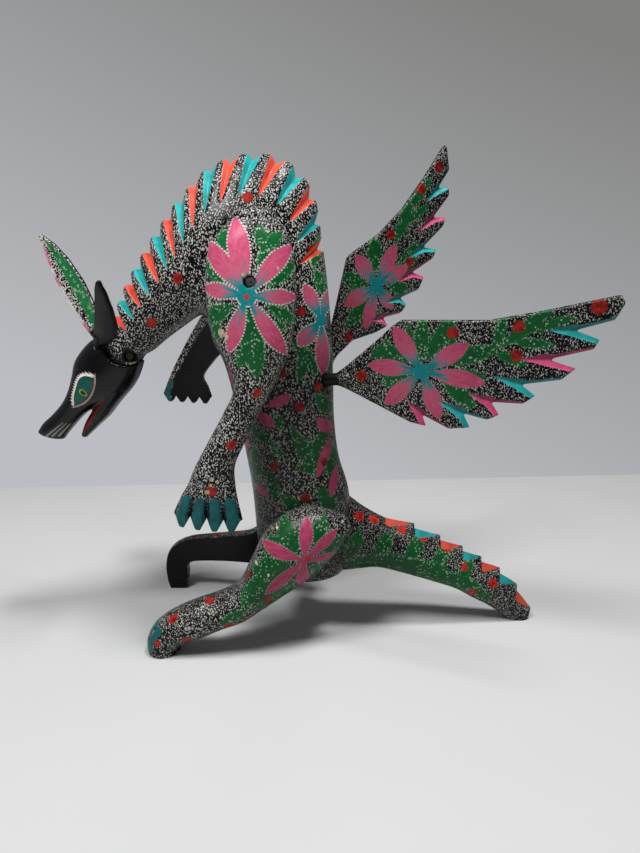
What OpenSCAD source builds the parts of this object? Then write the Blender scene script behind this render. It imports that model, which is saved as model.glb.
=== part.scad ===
// Carved and painted wooden dragon that stands on two feet and the tip of its tail.
// It faces -X, its left side is -Y, and it stands on Z = 0.

/* [Frame] */
// Shift along X that centres the figure over the origin
origin_x = 18.5; // [0:0.5:40]
// Shift along Y that centres the figure over the origin
origin_y = -1.5; // [-20:0.5:20]

/* [Crest] */
// Number of V grooves cut in the crest
crest_grooves = 17; // [9:1:19]
// Depth of a crest groove on the ridge
groove_depth = 6; // [2:0.5:7]
// Width of the shortest crest grooves
groove_w = 10; // [5:0.5:10]

/* [Tail] */
// Number of steps along the top of the tail
tail_steps = 7; // [4:1:9]
// Height of one step
step_h = 4.5; // [1:0.5:6]

/* [Hands] */
// Fingers on each hand
fingers = 4; // [3:1:5]
// How far a fingertip stands out past the gap beside it
fingertip = 6; // [2:0.5:9]

/* [Wings and ears] */
// Thickness of a wing board
wing_thick = 6; // [4:0.5:8]
// Diameter of a wing's round stem
wing_stem_d = 10; // [8:0.5:12]
// Thickness of an ear
ear_thick = 4.5; // [3:0.5:6]
// Diameter of an ear's round stem
ear_stem_d = 7; // [6:0.5:8]

/* [Pegs and pins] */
// Diameter of a wing peg
wing_peg_d = 5; // [4:0.5:6]
// Diameter of an ear peg
ear_peg_d = 3; // [2:0.5:4]
// Diameter of the neck, tail and hip dowels
dowel_d = 10; // [8:0.5:12]
// Diameter of the cross pin in the neck
neck_pin_d = 5.6; // [4:0.2:6]
// Diameter of a shoulder nail's shank
nail_d = 3; // [2:0.5:4]
// Diameter of a shoulder nail's head
nail_head_d = 7; // [5:0.5:8]
// Clearance around a peg that turns, on the radius
running_gap = 0.05; // [0.02:0.01:0.1]
// Glue line around a fixed dowel, on the radius
glue_gap = 0.05; // [0.02:0.01:0.1]

/* [Hidden] */

$fn = 48;
body_sides = 32;
limb_sides = 28;
head_sides = 24;
jaw_sides = 16;
// How far the closed ends stand out past their last stations
rump_dome = 11;
arm_dome = 9;
leg_dome = 6;
nose_dome = 2;
// Flat seats on the sides of the trunk, where the arms and legs are fixed
seat_y = 35;
// The end of the neck is rounded about this point in the XZ plane
neck_end = [-157, 246];
neck_end_r = 17;
// The face of the tail's root, square to X
tail_root_x = 24;
big = 400;

// Stations along each carved piece. A station is one cross-section: the two silhouette points
// [x, z, x, z] that bound it, then the two side limits in Y, then how egg-shaped it is.
// Trunk: ridge or back point, throat or belly point, from the neck's end down to the rump.
TRUNK = [
    [-184, 238, -152, 220, -15, 15, 0.05],
    [-174, 254, -146, 235, -17, 17, 0.10],
    [-167, 272, -137, 241, -20, 20, 0.15],
    [-157, 294, -126, 250, -23, 23, 0.25],
    [-144, 315, -112, 260, -27, 27, 0.30],
    [-129, 337, -100, 268, -31, 31, 0.35],
    [-109, 362, -93, 269, -34, 34, 0.38],
    [-85, 384, -90, 266, -37, 37, 0.40],
    [-55, 393, -90, 262, -39, 39, 0.40],
    [-25, 387, -89, 257, -40, 40, 0.38],
    [-5, 363, -88, 251, -41, 41, 0.32],
    [2, 325, -86, 244, -41, 41, 0.22],
    [7, 285, -81, 235, -40, 40, 0.12],
    [10, 245, -77, 223, -39, 39, 0.05],
    [11, 216, -73, 206, -38, 38, 0],
    [12, 182, -67, 178, -37, 37, 0],
    [16, 151, -62, 149, -36, 36, 0],
    [24, 124, -58, 122, -37, 37, 0],
    [27, 100, -56, 97, -38, 38, 0],
    [27, 75, -54, 74, -37, 37, 0],
    [22, 52, -47, 54, -33, 33, 0]
];
TAIL = [
    [16, 121, 14, 46, -21, 21, 0],
    [27, 113, 24, 47, -21, 21, 0.05],
    [39, 104, 36, 49, -21, 21, 0.10],
    [57, 94, 52, 50, -20, 20, 0.15],
    [83, 84, 76, 44, -19, 19, 0.20],
    [106, 73, 99, 37, -18, 18, 0.20],
    [126, 63, 119, 30, -16, 16, 0.20],
    [143, 53, 135, 21, -14, 14, 0.20],
    [160, 42, 150, 13, -12, 12, 0.15],
    [176, 26, 163, 4, -10, 10, 0.10],
    [189, 4, 173, -5, -7, 7, 0]
];
// Skull and upper jaw: top point, underside point, from the neck to the nose
SKULL = [
    [-180, 253, -145, 236, -17, 17, 0],
    [-189, 248, -148, 226, -19, 19, 0],
    [-197, 240, -153, 215, -20, 20, 0],
    [-203, 231, -162, 204, -20, 20, 0],
    [-206, 220, -175, 197, -18, 18, 0],
    [-210, 208, -188, 193, -15, 15, 0],
    [-216, 197, -198, 187, -13, 13, 0],
    [-225, 187, -207, 178, -12, 12, 0],
    [-234, 179, -214, 170, -11, 11, 0],
    [-239, 172, -217, 166, -9, 9, 0]
];
JAW = [
    [-188, 212, -160, 206, -15, 15, 0],
    [-185, 202, -168, 197, -14, 14, 0],
    [-191, 191, -177, 186, -12, 12, 0],
    [-198, 180, -187, 177, -9, 9, 0],
    [-202, 170, -197, 168, -6, 6, 0]
];
// Arms: back edge, front edge, inner flat, outer limit, then the finger share
LEFT_ARM = [
    [-31, 341, -68, 338, -35, -54, 0],
    [-22, 325, -81, 322, -35, -62, 0],
    [-18, 300, -85, 298, -35, -68, 0],
    [-18, 275, -84, 272, -35, -69, 0],
    [-21, 252, -78, 250, -36, -68, 0],
    [-28, 232, -70, 234, -37, -66, 0],
    [-38, 212, -66, 215, -40, -65, 0],
    [-48, 194, -74, 197, -42, -65, 0],
    [-58, 174, -85, 177, -44, -66, 0],
    [-66, 156, -97, 155, -46, -66, 0],
    [-66, 140, -103, 141, -48, -65, 0],
    [-64, 127, -109, 131, -50, -64, 0.6],
    [-61, 112, -115, 118, -51, -63, 1]
];
RIGHT_ARM = [
    [-31, 341, -68, 338, 35, 54, 0],
    [-22, 325, -81, 322, 35, 62, 0],
    [-18, 300, -85, 298, 35, 68, 0],
    [-24, 277, -89, 282, 37, 72, 0],
    [-44, 258, -99, 276, 52, 84, 0],
    [-72, 244, -110, 267, 70, 98, 0],
    [-92, 232, -122, 251, 82, 106, 0],
    [-106, 218, -134, 232, 89, 109, 0],
    [-114, 206, -145, 212, 92, 109, 0],
    [-110, 196, -151, 199, 94, 107, 0.6],
    [-107, 186, -155, 189, 95, 105, 1]
];
// Legs: top edge, underside, inner flat, outer limit, from the hip to the sole
LEFT_LEG = [
    [16, 111, 22, 93, -35, -50, 0],
    [4, 117, 10, 77, -35, -60, 0],
    [-12, 119, -4, 63, -35, -66, 0],
    [-30, 112, -20, 51, -35, -68, 0],
    [-45, 97, -36, 40, -36, -68, 0],
    [-56, 76, -50, 31, -38, -68, 0],
    [-66, 57, -63, 24, -41, -69, 0],
    [-82, 48, -80, 18, -42, -69, 0],
    [-102, 42, -97, 11, -45, -70, 0],
    [-120, 34, -107, 8, -46, -70, 0],
    [-134, 24, -112, 6, -47, -69, 0],
    [-141, 11, -115, 3, -47, -69, 0],
    [-141, -1, -115, -1, -47, -68, 0]
];
RIGHT_LEG = [
    [14, 108, 20, 88, 35, 50, 0],
    [0, 114, 6, 70, 35, 60, 0],
    [-18, 112, -10, 54, 35, 65, 0],
    [-36, 98, -30, 42, 35, 66, 0],
    [-50, 78, -48, 35, 37, 67, 0],
    [-66, 64, -66, 33, 41, 69, 0],
    [-88, 59, -88, 32, 47, 73, 0],
    [-110, 55, -108, 30, 53, 77, 0],
    [-127, 52, -124, 28, 56, 79, 0],
    [-141, 46, -130, 24, 57, 80, 0],
    [-149, 37, -130, 19, 57, 80, 0],
    [-152, 24, -130, 13, 57, 80, 0],
    [-151, 9, -131, 5, 57, 80, 0],
    [-148, -1, -132, -1, 57, 79, 0]
];

// Wing outlines along the peg's axis: leading edge, then each feather's tip and the notch
// above it, then the trailing edge.
LEFT_WING = [
    [4, 4], [15, 10], [42, 27], [55, 36], [63, 40], [79, 38], [127, 32], [165, 34], [213, 38],
    [215, 32], [208, 22], [183, 18], [198, 10], [194, 4], [164, 0], [182, -8], [172, -15],
    [145, -16], [154, -25], [145, -30], [123, -27], [128, -37], [119, -40], [102, -34],
    [106, -45], [90, -45], [71, -33], [73, -42], [61, -38], [35, -22], [12, -8], [4, -4]
];
RIGHT_WING = [
    [4, 4], [12, 4], [24, 6], [39, 14], [58, 21], [84, 31], [97, 36], [102, 35], [132, 23],
    [162, 17], [195, 15], [231, 15], [231, 12], [217, -2], [198, -2], [207, -9], [200, -15],
    [175, -13], [184, -22], [176, -26], [149, -20], [156, -32], [147, -34], [125, -24],
    [129, -36], [116, -38], [100, -27], [99, -36], [89, -35], [76, -23], [73, -31], [61, -24],
    [43, -9], [24, -4], [12, -4], [4, -4]
];
// Ear outlines along the peg's axis
LEFT_EAR = [
    [2, 3], [10, 3.5], [26, 3], [50, 2.5], [66, 2.5], [74, 1.5], [76, -1], [66, -6.5],
    [50, -11.5], [32, -15], [18, -14.5], [9, -10], [2, -3]
];
RIGHT_EAR = [
    [2, 3], [8, 8], [24, 15], [44, 17], [66, 14], [84, 8], [96, 1], [94, -2], [80, -4],
    [60, -7], [34, -7], [12, -5], [2, -3]
];

// Where each plugged piece sits: point, turn about Z, tilt up, roll about its own axis
LEFT_WING_AT = [[9, -22, 219], -23, 8, 0];
RIGHT_WING_AT = [[-1, 22, 216], 24, 55, 0];
LEFT_EAR_AT = [[-178, -15, 247], -68, 40, 45];
RIGHT_EAR_AT = [[-187, 11, 250], 167, 61, 0];
// How far a stem's end stands behind that point, in its round seat
wing_stem_in = 6;
ear_stem_in = 3;
stem_gap = 0.4;
wing_peg_in = 24;
wing_peg_out = 18;
ear_peg_in = 10;
ear_peg_out = 9;

// The neck dowel runs through the cross pin, square to the joint
pin_at = [-154, 237];
neck_tilt = 63;
neck_face = 6;
neck_dowel_l = 44;
pin_l = 28;
// Shoulder nails run from inside the trunk to the floor of a sunk hole in the arm
sink_d = 8;
shoulder = [-50, 295];
nail_tip_y = 12;
nail_seat_y = 61;
nail_head_t = 2;
hip = [-12, 88];
hip_dowel_l = 40;
tail_root_top = 119;
tail_dowel_z = 78;
tail_dowel_l = 50;

// A point on the smooth curve through a list of rows, at t rows from its start
function smooth(rows, t) =
    let (last = len(rows) - 1)
    let (i = min(max(floor(t), 0), last - 1))
    let (f = t - i)
    let (p = rows[max(i - 1, 0)])
    let (q = rows[i])
    let (r = rows[i + 1])
    let (s = rows[min(i + 2, last)])
    q + f * ((r - p) / 2 + f * (p - 2.5 * q + 2 * r - 0.5 * s + f * (1.5 * (q - r) + (s - p) / 2)));

// A station's middle, and the reach from there to its first silhouette point
function middle(s) = [(s[0] + s[2]) / 2, (s[1] + s[3]) / 2];
function reach(s) = [(s[0] - s[2]) / 2, (s[1] - s[3]) / 2];
// A point of the ring around a station, kept above the floor
function ring_point(s, u, y) =
    [middle(s)[0] + reach(s)[0] * u, y, max(middle(s)[1] + reach(s)[1] * u, 0)];

// Egg-shaped ring with sides cut flat at the seats
function trunk_ring(s, sides) = [
    for (k = [0 : sides - 1])
        let (a = 360 * k / sides)
        let (y = (s[5] - s[4]) / 2 * sin(a) * (1 - s[6] * cos(a)))
        ring_point(s, cos(a), min(max(y, -seat_y), seat_y))
];

// A limb's ring: domed outside, flat inside, with finger grooves where its share asks for them
function finger(u) = abs(sin(180 * fingers * (u + 1) / 2));
function limb_ring(s, sides) = [
    for (k = [0 : sides - 1])
        let (u = -cos(360 * k / sides))
        let (thick = s[5] - s[4])
        let (bulge = 0.75 * thick * (1 + sin(360 * k / sides)))
        let (y = max(bulge / thick - 0.5, 0) * thick)
        let (groove = 1 - 0.45 * s[6] * (1 - finger(u)))
        let (side = sign(s[5]))
        ring_point(s, u, side * max(side * (s[4] + thick / 2 + (y - thick / 2) * groove), seat_y))
];

// Takes a station some way along its own normal and shrinks it about its middle
function moved(s, along, scale) =
    let (c = middle(s))
    let (h = reach(s) * scale)
    let (n = [reach(s)[1], -reach(s)[0]] / norm(reach(s)) * along)
    let (y = (s[4] + s[5]) / 2)
    let (half = (s[5] - s[4]) / 2 * scale)
    [c[0] + h[0] + n[0], c[1] + h[1] + n[1], c[0] - h[0] + n[0], c[1] - h[1] + n[1],
     y - half, y + half, s[6]];
// Stations that round an end off over a length; a negative length faces backwards
function dome(s, length) = [for (a = [20, 40, 58, 72, 82]) moved(s, length * sin(a), cos(a))];

function average(points) = [for (v = points) 1] * points / len(points);
function backwards(list) = [for (i = [len(list) - 1 : -1 : 0]) list[i]];

// Six times the volume inside a closed surface, negative when its faces are inside out
function volume6(points, faces) =
    [for (f = faces) 1] * [for (f = faces) cross(points[f[0]], points[f[1]]) * points[f[2]]];

// A closed solid through rings that all have the same number of points
module loft(rings) {
    sides = len(rings[0]);
    last = len(rings) - 1;
    points = concat([for (r = rings) each r], [average(rings[0]), average(rings[last])]);
    start = len(points) - 2;
    walls = [for (i = [0 : last - 1], k = [0 : sides - 1])
        let (a = i * sides + k)
        let (b = i * sides + (k + 1) % sides)
        each [[a, b, b + sides], [a, b + sides, a + sides]]];
    first_cap = [for (k = [0 : sides - 1]) [start, (k + 1) % sides, k]];
    last_cap = [for (k = [0 : sides - 1])
        [start + 1, last * sides + k, last * sides + (k + 1) % sides]];
    faces = concat(walls, first_cap, last_cap);
    outward = volume6(points, faces) < 0 ? faces : [for (f = faces) backwards(f)];
    polyhedron(points, outward, convexity = 10);
}

// Distance along the crest, tabulated against t
ridge_step = 0.1;
function ridge(t) = let (s = smooth(TRUNK, t)) [s[0], s[1]];
RIDGE = [for (t = 1, d = 0; t <= 13; d = d + norm(ridge(t + ridge_step) - ridge(t)),
    t = t + ridge_step) [d, t]];
function groove_at(i) = 20 + 13.7 * i + 0.21 * i * i;
// Grooves grow from the crest's ends, where this is near 0, to its middle, where it is 1
function groove_share(i) = sin(180 * (i + 1) / (crest_grooves + 2));
function groove_half(i) = groove_w / 2 + 1.5 * groove_share(i);
// How far a groove comes down each side, seen from the side
function groove_reach(i) = 16 + 22 * groove_share(i);

// Pulls a ring's points in towards its middle near the ridge
function grooved(ring, depth, length) = [
    for (p = ring)
        let (away = norm([p[0] - ring[0][0], p[2] - ring[0][2]]))
        let (in = average(ring) - p)
        p + in / norm(in) * depth * max(0, 1 - away / length)
];
// Lifts a ring's points near the ridge
function lifted(ring, height) = [
    for (p = ring) p + [0.3, 0, 1] * height * max(0, 1 - norm(p - ring[0]) / 9)
];

module trunk() {
    first = lookup(groove_at(0) - groove_half(0), RIDGE);
    final = crest_grooves - 1;
    after = ceil(lookup(groove_at(final) + groove_half(final), RIDGE) + 0.3);
    crest = [for (i = [0 : final], side = [-1 : 1])
        let (t = lookup(groove_at(i) + side * groove_half(i), RIDGE))
        grooved(trunk_ring(smooth(TRUNK, t), body_sides),
            side == 0 ? groove_depth : 0, groove_reach(i))];
    start = [for (t = [0, 0.5, 1, first - 0.3]) trunk_ring(smooth(TRUNK, t), body_sides)];
    rest = [for (t = [after : 0.5 : len(TRUNK) - 1]) trunk_ring(smooth(TRUNK, t), body_sides)];
    rump = [for (s = dome(TRUNK[len(TRUNK) - 1], rump_dome)) trunk_ring(s, body_sides)];
    loft(concat(start, crest, rest, rump));
}

module tail_loft() {
    first = 3;
    span = len(TAIL) - 1 - first;
    steps = [for (i = [0 : tail_steps - 1], side = [0, 1])
        let (t = first + span * (i + side * 0.93) / tail_steps)
        lifted(trunk_ring(smooth(TAIL, t), limb_sides), side * step_h)];
    root = [for (t = [0 : 0.5 : first - 0.25]) trunk_ring(smooth(TAIL, t), limb_sides)];
    loft(concat(root, steps, [trunk_ring(TAIL[len(TAIL) - 1], limb_sides)]));
}

// A limb with a domed start and fingers where its stations ask for them
module limb(stations, top) {
    rows = [for (t = [0 : 0.5 : len(stations) - 1]) smooth(stations, t)];
    cap = backwards(dome(stations[0], top));
    body_rings = [for (s = concat(cap, rows)) limb_ring(s, limb_sides)];
    last = stations[len(stations) - 1];
    tips = limb_ring(moved(last, fingertip * 0.6, 0.97), limb_sides);
    loft(last[6] == 0 ? body_rings : concat(body_rings, [fingered(tips)]));
}

// Drops the end ring at the fingertips and lifts it at the gaps between them
function fingered(ring) = [
    for (k = [0 : len(ring) - 1])
        let (u = -cos(360 * k / len(ring)))
        ring[k] + [0, 0, fingertip * (0.5 - finger(u))]
];

module carved(stations, sides, end) {
    rows = [for (t = [0 : 0.5 : len(stations) - 1]) smooth(stations, t)];
    tip = dome(stations[len(stations) - 1], end);
    loft([for (s = concat(rows, tip)) trunk_ring(s, sides)]);
}

// Places a piece that is drawn along +X in its own frame
module placed(at) {
    translate(at[0]) rotate([0, -at[2], at[1]]) rotate([at[3], 0, 0]) children();
}

// A rod along +X
module rod(d, from, to) {
    translate([from, 0, 0]) rotate([0, 90, 0]) cylinder(d = d, h = to - from);
}

// A rod along Y, between two distances from the middle, on one side of it
module cross_rod(at, d, from, to, side = 1) {
    high = max(side * from, side * to);
    translate([at[0], high, at[1]]) rotate([90, 0, 0]) cylinder(d = d, h = abs(to - from));
}

module neck_frame() {
    translate([neck_end[0], 0, neck_end[1]]) rotate([0, 180 - neck_tilt, 0]) children();
}

// What the head gives up to the rounded end of the neck
module neck_side() {
    neck_frame() translate([neck_face - big, -big / 2, -big / 2]) cube(big);
    cross_rod(neck_end, 2 * neck_end_r, -big, big);
}

// What the neck gives up to the head
module head_side() {
    difference() {
        neck_frame() translate([neck_face, -40, -40]) cube(80);
        cross_rod(neck_end, 2 * neck_end_r, -big, big);
    }
}

module neck_dowel_line(d) {
    translate([pin_at[0], 0, pin_at[1]]) rotate([0, 180 - neck_tilt, 0])
        rod(d, -neck_dowel_l / 2, neck_dowel_l / 2);
}

module tail_dowel_line(d) {
    translate([tail_root_x, 0, tail_dowel_z]) rod(d, -tail_dowel_l / 2, tail_dowel_l / 2);
}

module neck_pin_line(d) {
    cross_rod(pin_at, d, -pin_l / 2, pin_l / 2);
}

module hip_dowel_line(d, side) {
    cross_rod(hip, d, seat_y - hip_dowel_l / 2, seat_y + hip_dowel_l / 2, side);
}

// Centres the figure over the origin
module centred() {
    translate([origin_x, origin_y, 0]) children();
}

module body() {
    color("dimgray") centred() difference() {
        trunk();
        head_side();
        translate([tail_root_x, -big / 2, 0]) cube([big, big, tail_root_top]);
        neck_dowel_line(dowel_d);
        tail_dowel_line(dowel_d);
        neck_pin_line(neck_pin_d);
        cross_rod(pin_at, sink_d, pin_l / 2, big, -1);
        for (side = [-1, 1]) {
            cross_rod(shoulder, nail_d, nail_tip_y, big, side);
            hip_dowel_line(dowel_d, side);
        }
        for (at = [LEFT_WING_AT, RIGHT_WING_AT]) {
            placed(at) rod(wing_peg_d + 2 * running_gap, -wing_stem_in - wing_peg_in, 0);
            placed(at) rod(wing_stem_d + 2 * stem_gap, -wing_stem_in - stem_gap, 30);
        }
    }
}

module tail() {
    color("seagreen") centred() difference() {
        tail_loft();
        translate([tail_root_x - big, -big / 2, 0]) cube(big);
        tail_dowel_line(dowel_d);
    }
}

module head() {
    color("black") centred() difference() {
        union() {
            carved(SKULL, head_sides, -nose_dome);
            carved(JAW, jaw_sides, -nose_dome);
        }
        neck_side();
        neck_dowel_line(dowel_d);
        for (at = [LEFT_EAR_AT, RIGHT_EAR_AT]) {
            placed(at) rod(ear_peg_d + 2 * running_gap, -ear_stem_in - ear_peg_in, 0);
            placed(at) rod(ear_stem_d + 2 * stem_gap, -ear_stem_in - stem_gap, 12);
        }
    }
}

// A board with a round stem, bored along its axis for its peg
module plugged(at, outline, thick, stem_d, stem_in, peg_d, peg_out) {
    centred() placed(at) difference() {
        union() {
            board(outline, thick);
            rod(stem_d, -stem_in, peg_out);
        }
        rod(peg_d + 2 * running_gap, -stem_in - 1, peg_out - stem_in + 1);
    }
}

module board(outline, thick) {
    rotate([90, 0, 0]) linear_extrude(height = thick, center = true) polygon(outline);
}

module wing(at, outline) {
    color("darkslategray")
        plugged(at, outline, wing_thick, wing_stem_d, wing_stem_in, wing_peg_d, wing_peg_out);
}

module ear(at, outline) {
    color("green")
        plugged(at, outline, ear_thick, ear_stem_d, ear_stem_in, ear_peg_d, ear_peg_out);
}

module peg(at, d, stem_in, peg_in, peg_out) {
    color("tan") centred() placed(at) rod(d, -stem_in - peg_in + 0.5, peg_out - stem_in);
}

module arm(stations, side) {
    color("dimgray") centred() difference() {
        limb(stations, -arm_dome);
        cross_rod(shoulder, nail_d, 0, big, side);
        cross_rod(shoulder, sink_d, nail_seat_y, big, side);
    }
}

module leg(stations, side) {
    color("seagreen") centred() difference() {
        limb(stations, leg_dome);
        hip_dowel_line(dowel_d, side);
    }
}

module shoulder_nail(side) {
    color("silver") centred() union() {
        cross_rod(shoulder, nail_d - 2 * glue_gap, nail_tip_y + 0.5, nail_seat_y, side);
        cross_rod(shoulder, nail_head_d, nail_seat_y, nail_seat_y + nail_head_t, side);
    }
}

module hip_dowel(side) {
    color("tan") centred() hip_dowel_line(dowel_d - 2 * glue_gap, side);
}

module left_ear() {
    ear(LEFT_EAR_AT, LEFT_EAR);
}
module right_ear() {
    ear(RIGHT_EAR_AT, RIGHT_EAR);
}
module left_wing() {
    wing(LEFT_WING_AT, LEFT_WING);
}
module right_wing() {
    wing(RIGHT_WING_AT, RIGHT_WING);
}
module left_arm() {
    arm(LEFT_ARM, -1);
}
module right_arm() {
    arm(RIGHT_ARM, 1);
}
module left_leg() {
    leg(LEFT_LEG, -1);
}
module right_leg() {
    leg(RIGHT_LEG, 1);
}
module left_wing_peg() {
    peg(LEFT_WING_AT, wing_peg_d, wing_stem_in, wing_peg_in, wing_peg_out);
}
module right_wing_peg() {
    peg(RIGHT_WING_AT, wing_peg_d, wing_stem_in, wing_peg_in, wing_peg_out);
}
module left_ear_peg() {
    peg(LEFT_EAR_AT, ear_peg_d, ear_stem_in, ear_peg_in, ear_peg_out);
}
module right_ear_peg() {
    peg(RIGHT_EAR_AT, ear_peg_d, ear_stem_in, ear_peg_in, ear_peg_out);
}
module neck_dowel() {
    color("tan") centred() difference() {
        neck_dowel_line(dowel_d - 2 * glue_gap);
        neck_pin_line(neck_pin_d);
    }
}
module neck_pin() {
    color("tan") centred() neck_pin_line(neck_pin_d - 2 * glue_gap);
}
module tail_dowel() {
    color("tan") centred() tail_dowel_line(dowel_d - 2 * glue_gap);
}
module left_hip_dowel() {
    hip_dowel(-1);
}
module right_hip_dowel() {
    hip_dowel(1);
}
module left_shoulder_nail() {
    shoulder_nail(-1);
}
module right_shoulder_nail() {
    shoulder_nail(1);
}

body();
tail();
head();
left_ear();
right_ear();
left_wing();
right_wing();
left_arm();
right_arm();
left_leg();
right_leg();
left_wing_peg();
right_wing_peg();
left_ear_peg();
right_ear_peg();
neck_dowel();
neck_pin();
tail_dowel();
left_hip_dowel();
right_hip_dowel();
left_shoulder_nail();
right_shoulder_nail();
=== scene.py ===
"""Looks of the carved and painted dragon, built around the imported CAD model."""
import math

import bmesh
import bpy
import numpy as np
from mathutils import Matrix, Vector
from mathutils.geometry import tessellate_polygon


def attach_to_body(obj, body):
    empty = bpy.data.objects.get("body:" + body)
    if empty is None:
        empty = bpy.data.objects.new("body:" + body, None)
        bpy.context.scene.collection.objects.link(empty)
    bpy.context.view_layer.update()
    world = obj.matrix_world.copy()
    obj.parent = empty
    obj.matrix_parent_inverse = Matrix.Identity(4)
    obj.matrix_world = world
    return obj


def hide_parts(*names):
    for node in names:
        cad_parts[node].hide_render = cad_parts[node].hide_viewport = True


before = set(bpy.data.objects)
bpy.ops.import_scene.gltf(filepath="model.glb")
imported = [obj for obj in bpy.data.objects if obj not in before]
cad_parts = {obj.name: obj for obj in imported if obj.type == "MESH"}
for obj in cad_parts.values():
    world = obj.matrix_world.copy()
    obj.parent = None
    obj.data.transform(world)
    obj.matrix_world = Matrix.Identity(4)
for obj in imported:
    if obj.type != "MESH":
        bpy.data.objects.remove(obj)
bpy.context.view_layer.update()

# The carving is drawn in millimetres, with the neck's joint at y = 0, and moved by this to centre it
SHIFT = np.array([18.5, -1.5, 0.0])
SEAT_Y = 35.0
NECK_END = np.array([-157.0, 246.0])
NECK_R = 17.0
NECK_FACE = 6.0
NECK_TILT = math.radians(63)

# ---------------------------------------------------------------- stations
# Two silhouette points x, z, x, z, then the side limits in y, then the egg shape or finger share,
# which says how much of a finger's groove a station has
TRUNK = np.array([
    [-184, 238, -152, 220, -15, 15, 0.05], [-174, 254, -146, 235, -17, 17, 0.10],
    [-167, 272, -137, 241, -20, 20, 0.15], [-157, 294, -126, 250, -23, 23, 0.25],
    [-144, 315, -112, 260, -27, 27, 0.30], [-129, 337, -100, 268, -31, 31, 0.35],
    [-109, 362, -93, 269, -34, 34, 0.38], [-85, 384, -90, 266, -37, 37, 0.40],
    [-55, 393, -90, 262, -39, 39, 0.40], [-25, 387, -89, 257, -40, 40, 0.38],
    [-5, 363, -88, 251, -41, 41, 0.32], [2, 325, -86, 244, -41, 41, 0.22],
    [7, 285, -81, 235, -40, 40, 0.12], [10, 245, -77, 223, -39, 39, 0.05],
    [11, 216, -73, 206, -38, 38, 0], [12, 182, -67, 178, -37, 37, 0],
    [16, 151, -62, 149, -36, 36, 0], [24, 124, -58, 122, -37, 37, 0],
    [27, 100, -56, 97, -38, 38, 0], [27, 75, -54, 74, -37, 37, 0],
    [22, 52, -47, 54, -33, 33, 0]], float)
TAIL = np.array([
    [16, 121, 14, 46, -21, 21, 0], [27, 113, 24, 47, -21, 21, 0.05],
    [39, 104, 36, 49, -21, 21, 0.10], [57, 94, 52, 50, -20, 20, 0.15],
    [83, 84, 76, 44, -19, 19, 0.20], [106, 73, 99, 37, -18, 18, 0.20],
    [126, 63, 119, 30, -16, 16, 0.20], [143, 53, 135, 21, -14, 14, 0.20],
    [160, 42, 150, 13, -12, 12, 0.15], [176, 26, 163, 4, -10, 10, 0.10],
    [189, 4, 173, -5, -7, 7, 0]], float)
SKULL = np.array([
    [-180, 253, -145, 236, -17, 17, 0], [-189, 248, -148, 226, -19, 19, 0],
    [-197, 240, -153, 215, -20, 20, 0], [-203, 231, -162, 204, -20, 20, 0],
    [-206, 220, -175, 197, -18, 18, 0], [-210, 208, -188, 193, -15, 15, 0],
    [-216, 197, -198, 187, -13, 13, 0], [-225, 187, -207, 178, -12, 12, 0],
    [-234, 179, -214, 170, -11, 11, 0], [-239, 172, -217, 166, -9, 9, 0]], float)
JAW = np.array([
    [-188, 212, -160, 206, -15, 15, 0], [-185, 202, -168, 197, -14, 14, 0],
    [-191, 191, -177, 186, -12, 12, 0], [-198, 180, -187, 177, -9, 9, 0],
    [-202, 170, -197, 168, -6, 6, 0]], float)
LEFT_ARM = np.array([
    [-31, 341, -68, 338, -35, -54, 0], [-22, 325, -81, 322, -35, -62, 0],
    [-18, 300, -85, 298, -35, -68, 0], [-18, 275, -84, 272, -35, -69, 0],
    [-21, 252, -78, 250, -36, -68, 0], [-28, 232, -70, 234, -37, -66, 0],
    [-38, 212, -66, 215, -40, -65, 0], [-48, 194, -74, 197, -42, -65, 0],
    [-58, 174, -85, 177, -44, -66, 0], [-66, 156, -97, 155, -46, -66, 0],
    [-66, 140, -103, 141, -48, -65, 0], [-64, 127, -109, 131, -50, -64, 0.6],
    [-61, 112, -115, 118, -51, -63, 1]], float)
RIGHT_ARM = np.array([
    [-31, 341, -68, 338, 35, 54, 0], [-22, 325, -81, 322, 35, 62, 0],
    [-18, 300, -85, 298, 35, 68, 0], [-24, 277, -89, 282, 37, 72, 0],
    [-44, 258, -99, 276, 52, 84, 0], [-72, 244, -110, 267, 70, 98, 0],
    [-92, 232, -122, 251, 82, 106, 0], [-106, 218, -134, 232, 89, 109, 0],
    [-114, 206, -145, 212, 92, 109, 0], [-110, 196, -151, 199, 94, 107, 0.6],
    [-107, 186, -155, 189, 95, 105, 1]], float)
LEFT_LEG = np.array([
    [16, 111, 22, 93, -35, -50, 0], [4, 117, 10, 77, -35, -60, 0],
    [-12, 119, -4, 63, -35, -66, 0], [-30, 112, -20, 51, -35, -68, 0],
    [-45, 97, -36, 40, -36, -68, 0], [-56, 76, -50, 31, -38, -68, 0],
    [-66, 57, -63, 24, -41, -69, 0], [-82, 48, -80, 18, -42, -69, 0],
    [-102, 42, -97, 11, -45, -70, 0], [-120, 34, -107, 8, -46, -70, 0],
    [-134, 24, -112, 6, -47, -69, 0], [-141, 11, -115, 3, -47, -69, 0],
    [-141, -1, -115, -1, -47, -68, 0]], float)
RIGHT_LEG = np.array([
    [14, 108, 20, 88, 35, 50, 0], [0, 114, 6, 70, 35, 60, 0],
    [-18, 112, -10, 54, 35, 65, 0], [-36, 98, -30, 42, 35, 66, 0],
    [-50, 78, -48, 35, 37, 67, 0], [-66, 64, -66, 33, 41, 69, 0],
    [-88, 59, -88, 32, 47, 73, 0], [-110, 55, -108, 30, 53, 77, 0],
    [-127, 52, -124, 28, 56, 79, 0], [-141, 46, -130, 24, 57, 80, 0],
    [-149, 37, -130, 19, 57, 80, 0], [-152, 24, -130, 13, 57, 80, 0],
    [-151, 9, -131, 5, 57, 80, 0], [-148, -1, -132, -1, 57, 79, 0]], float)

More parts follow.
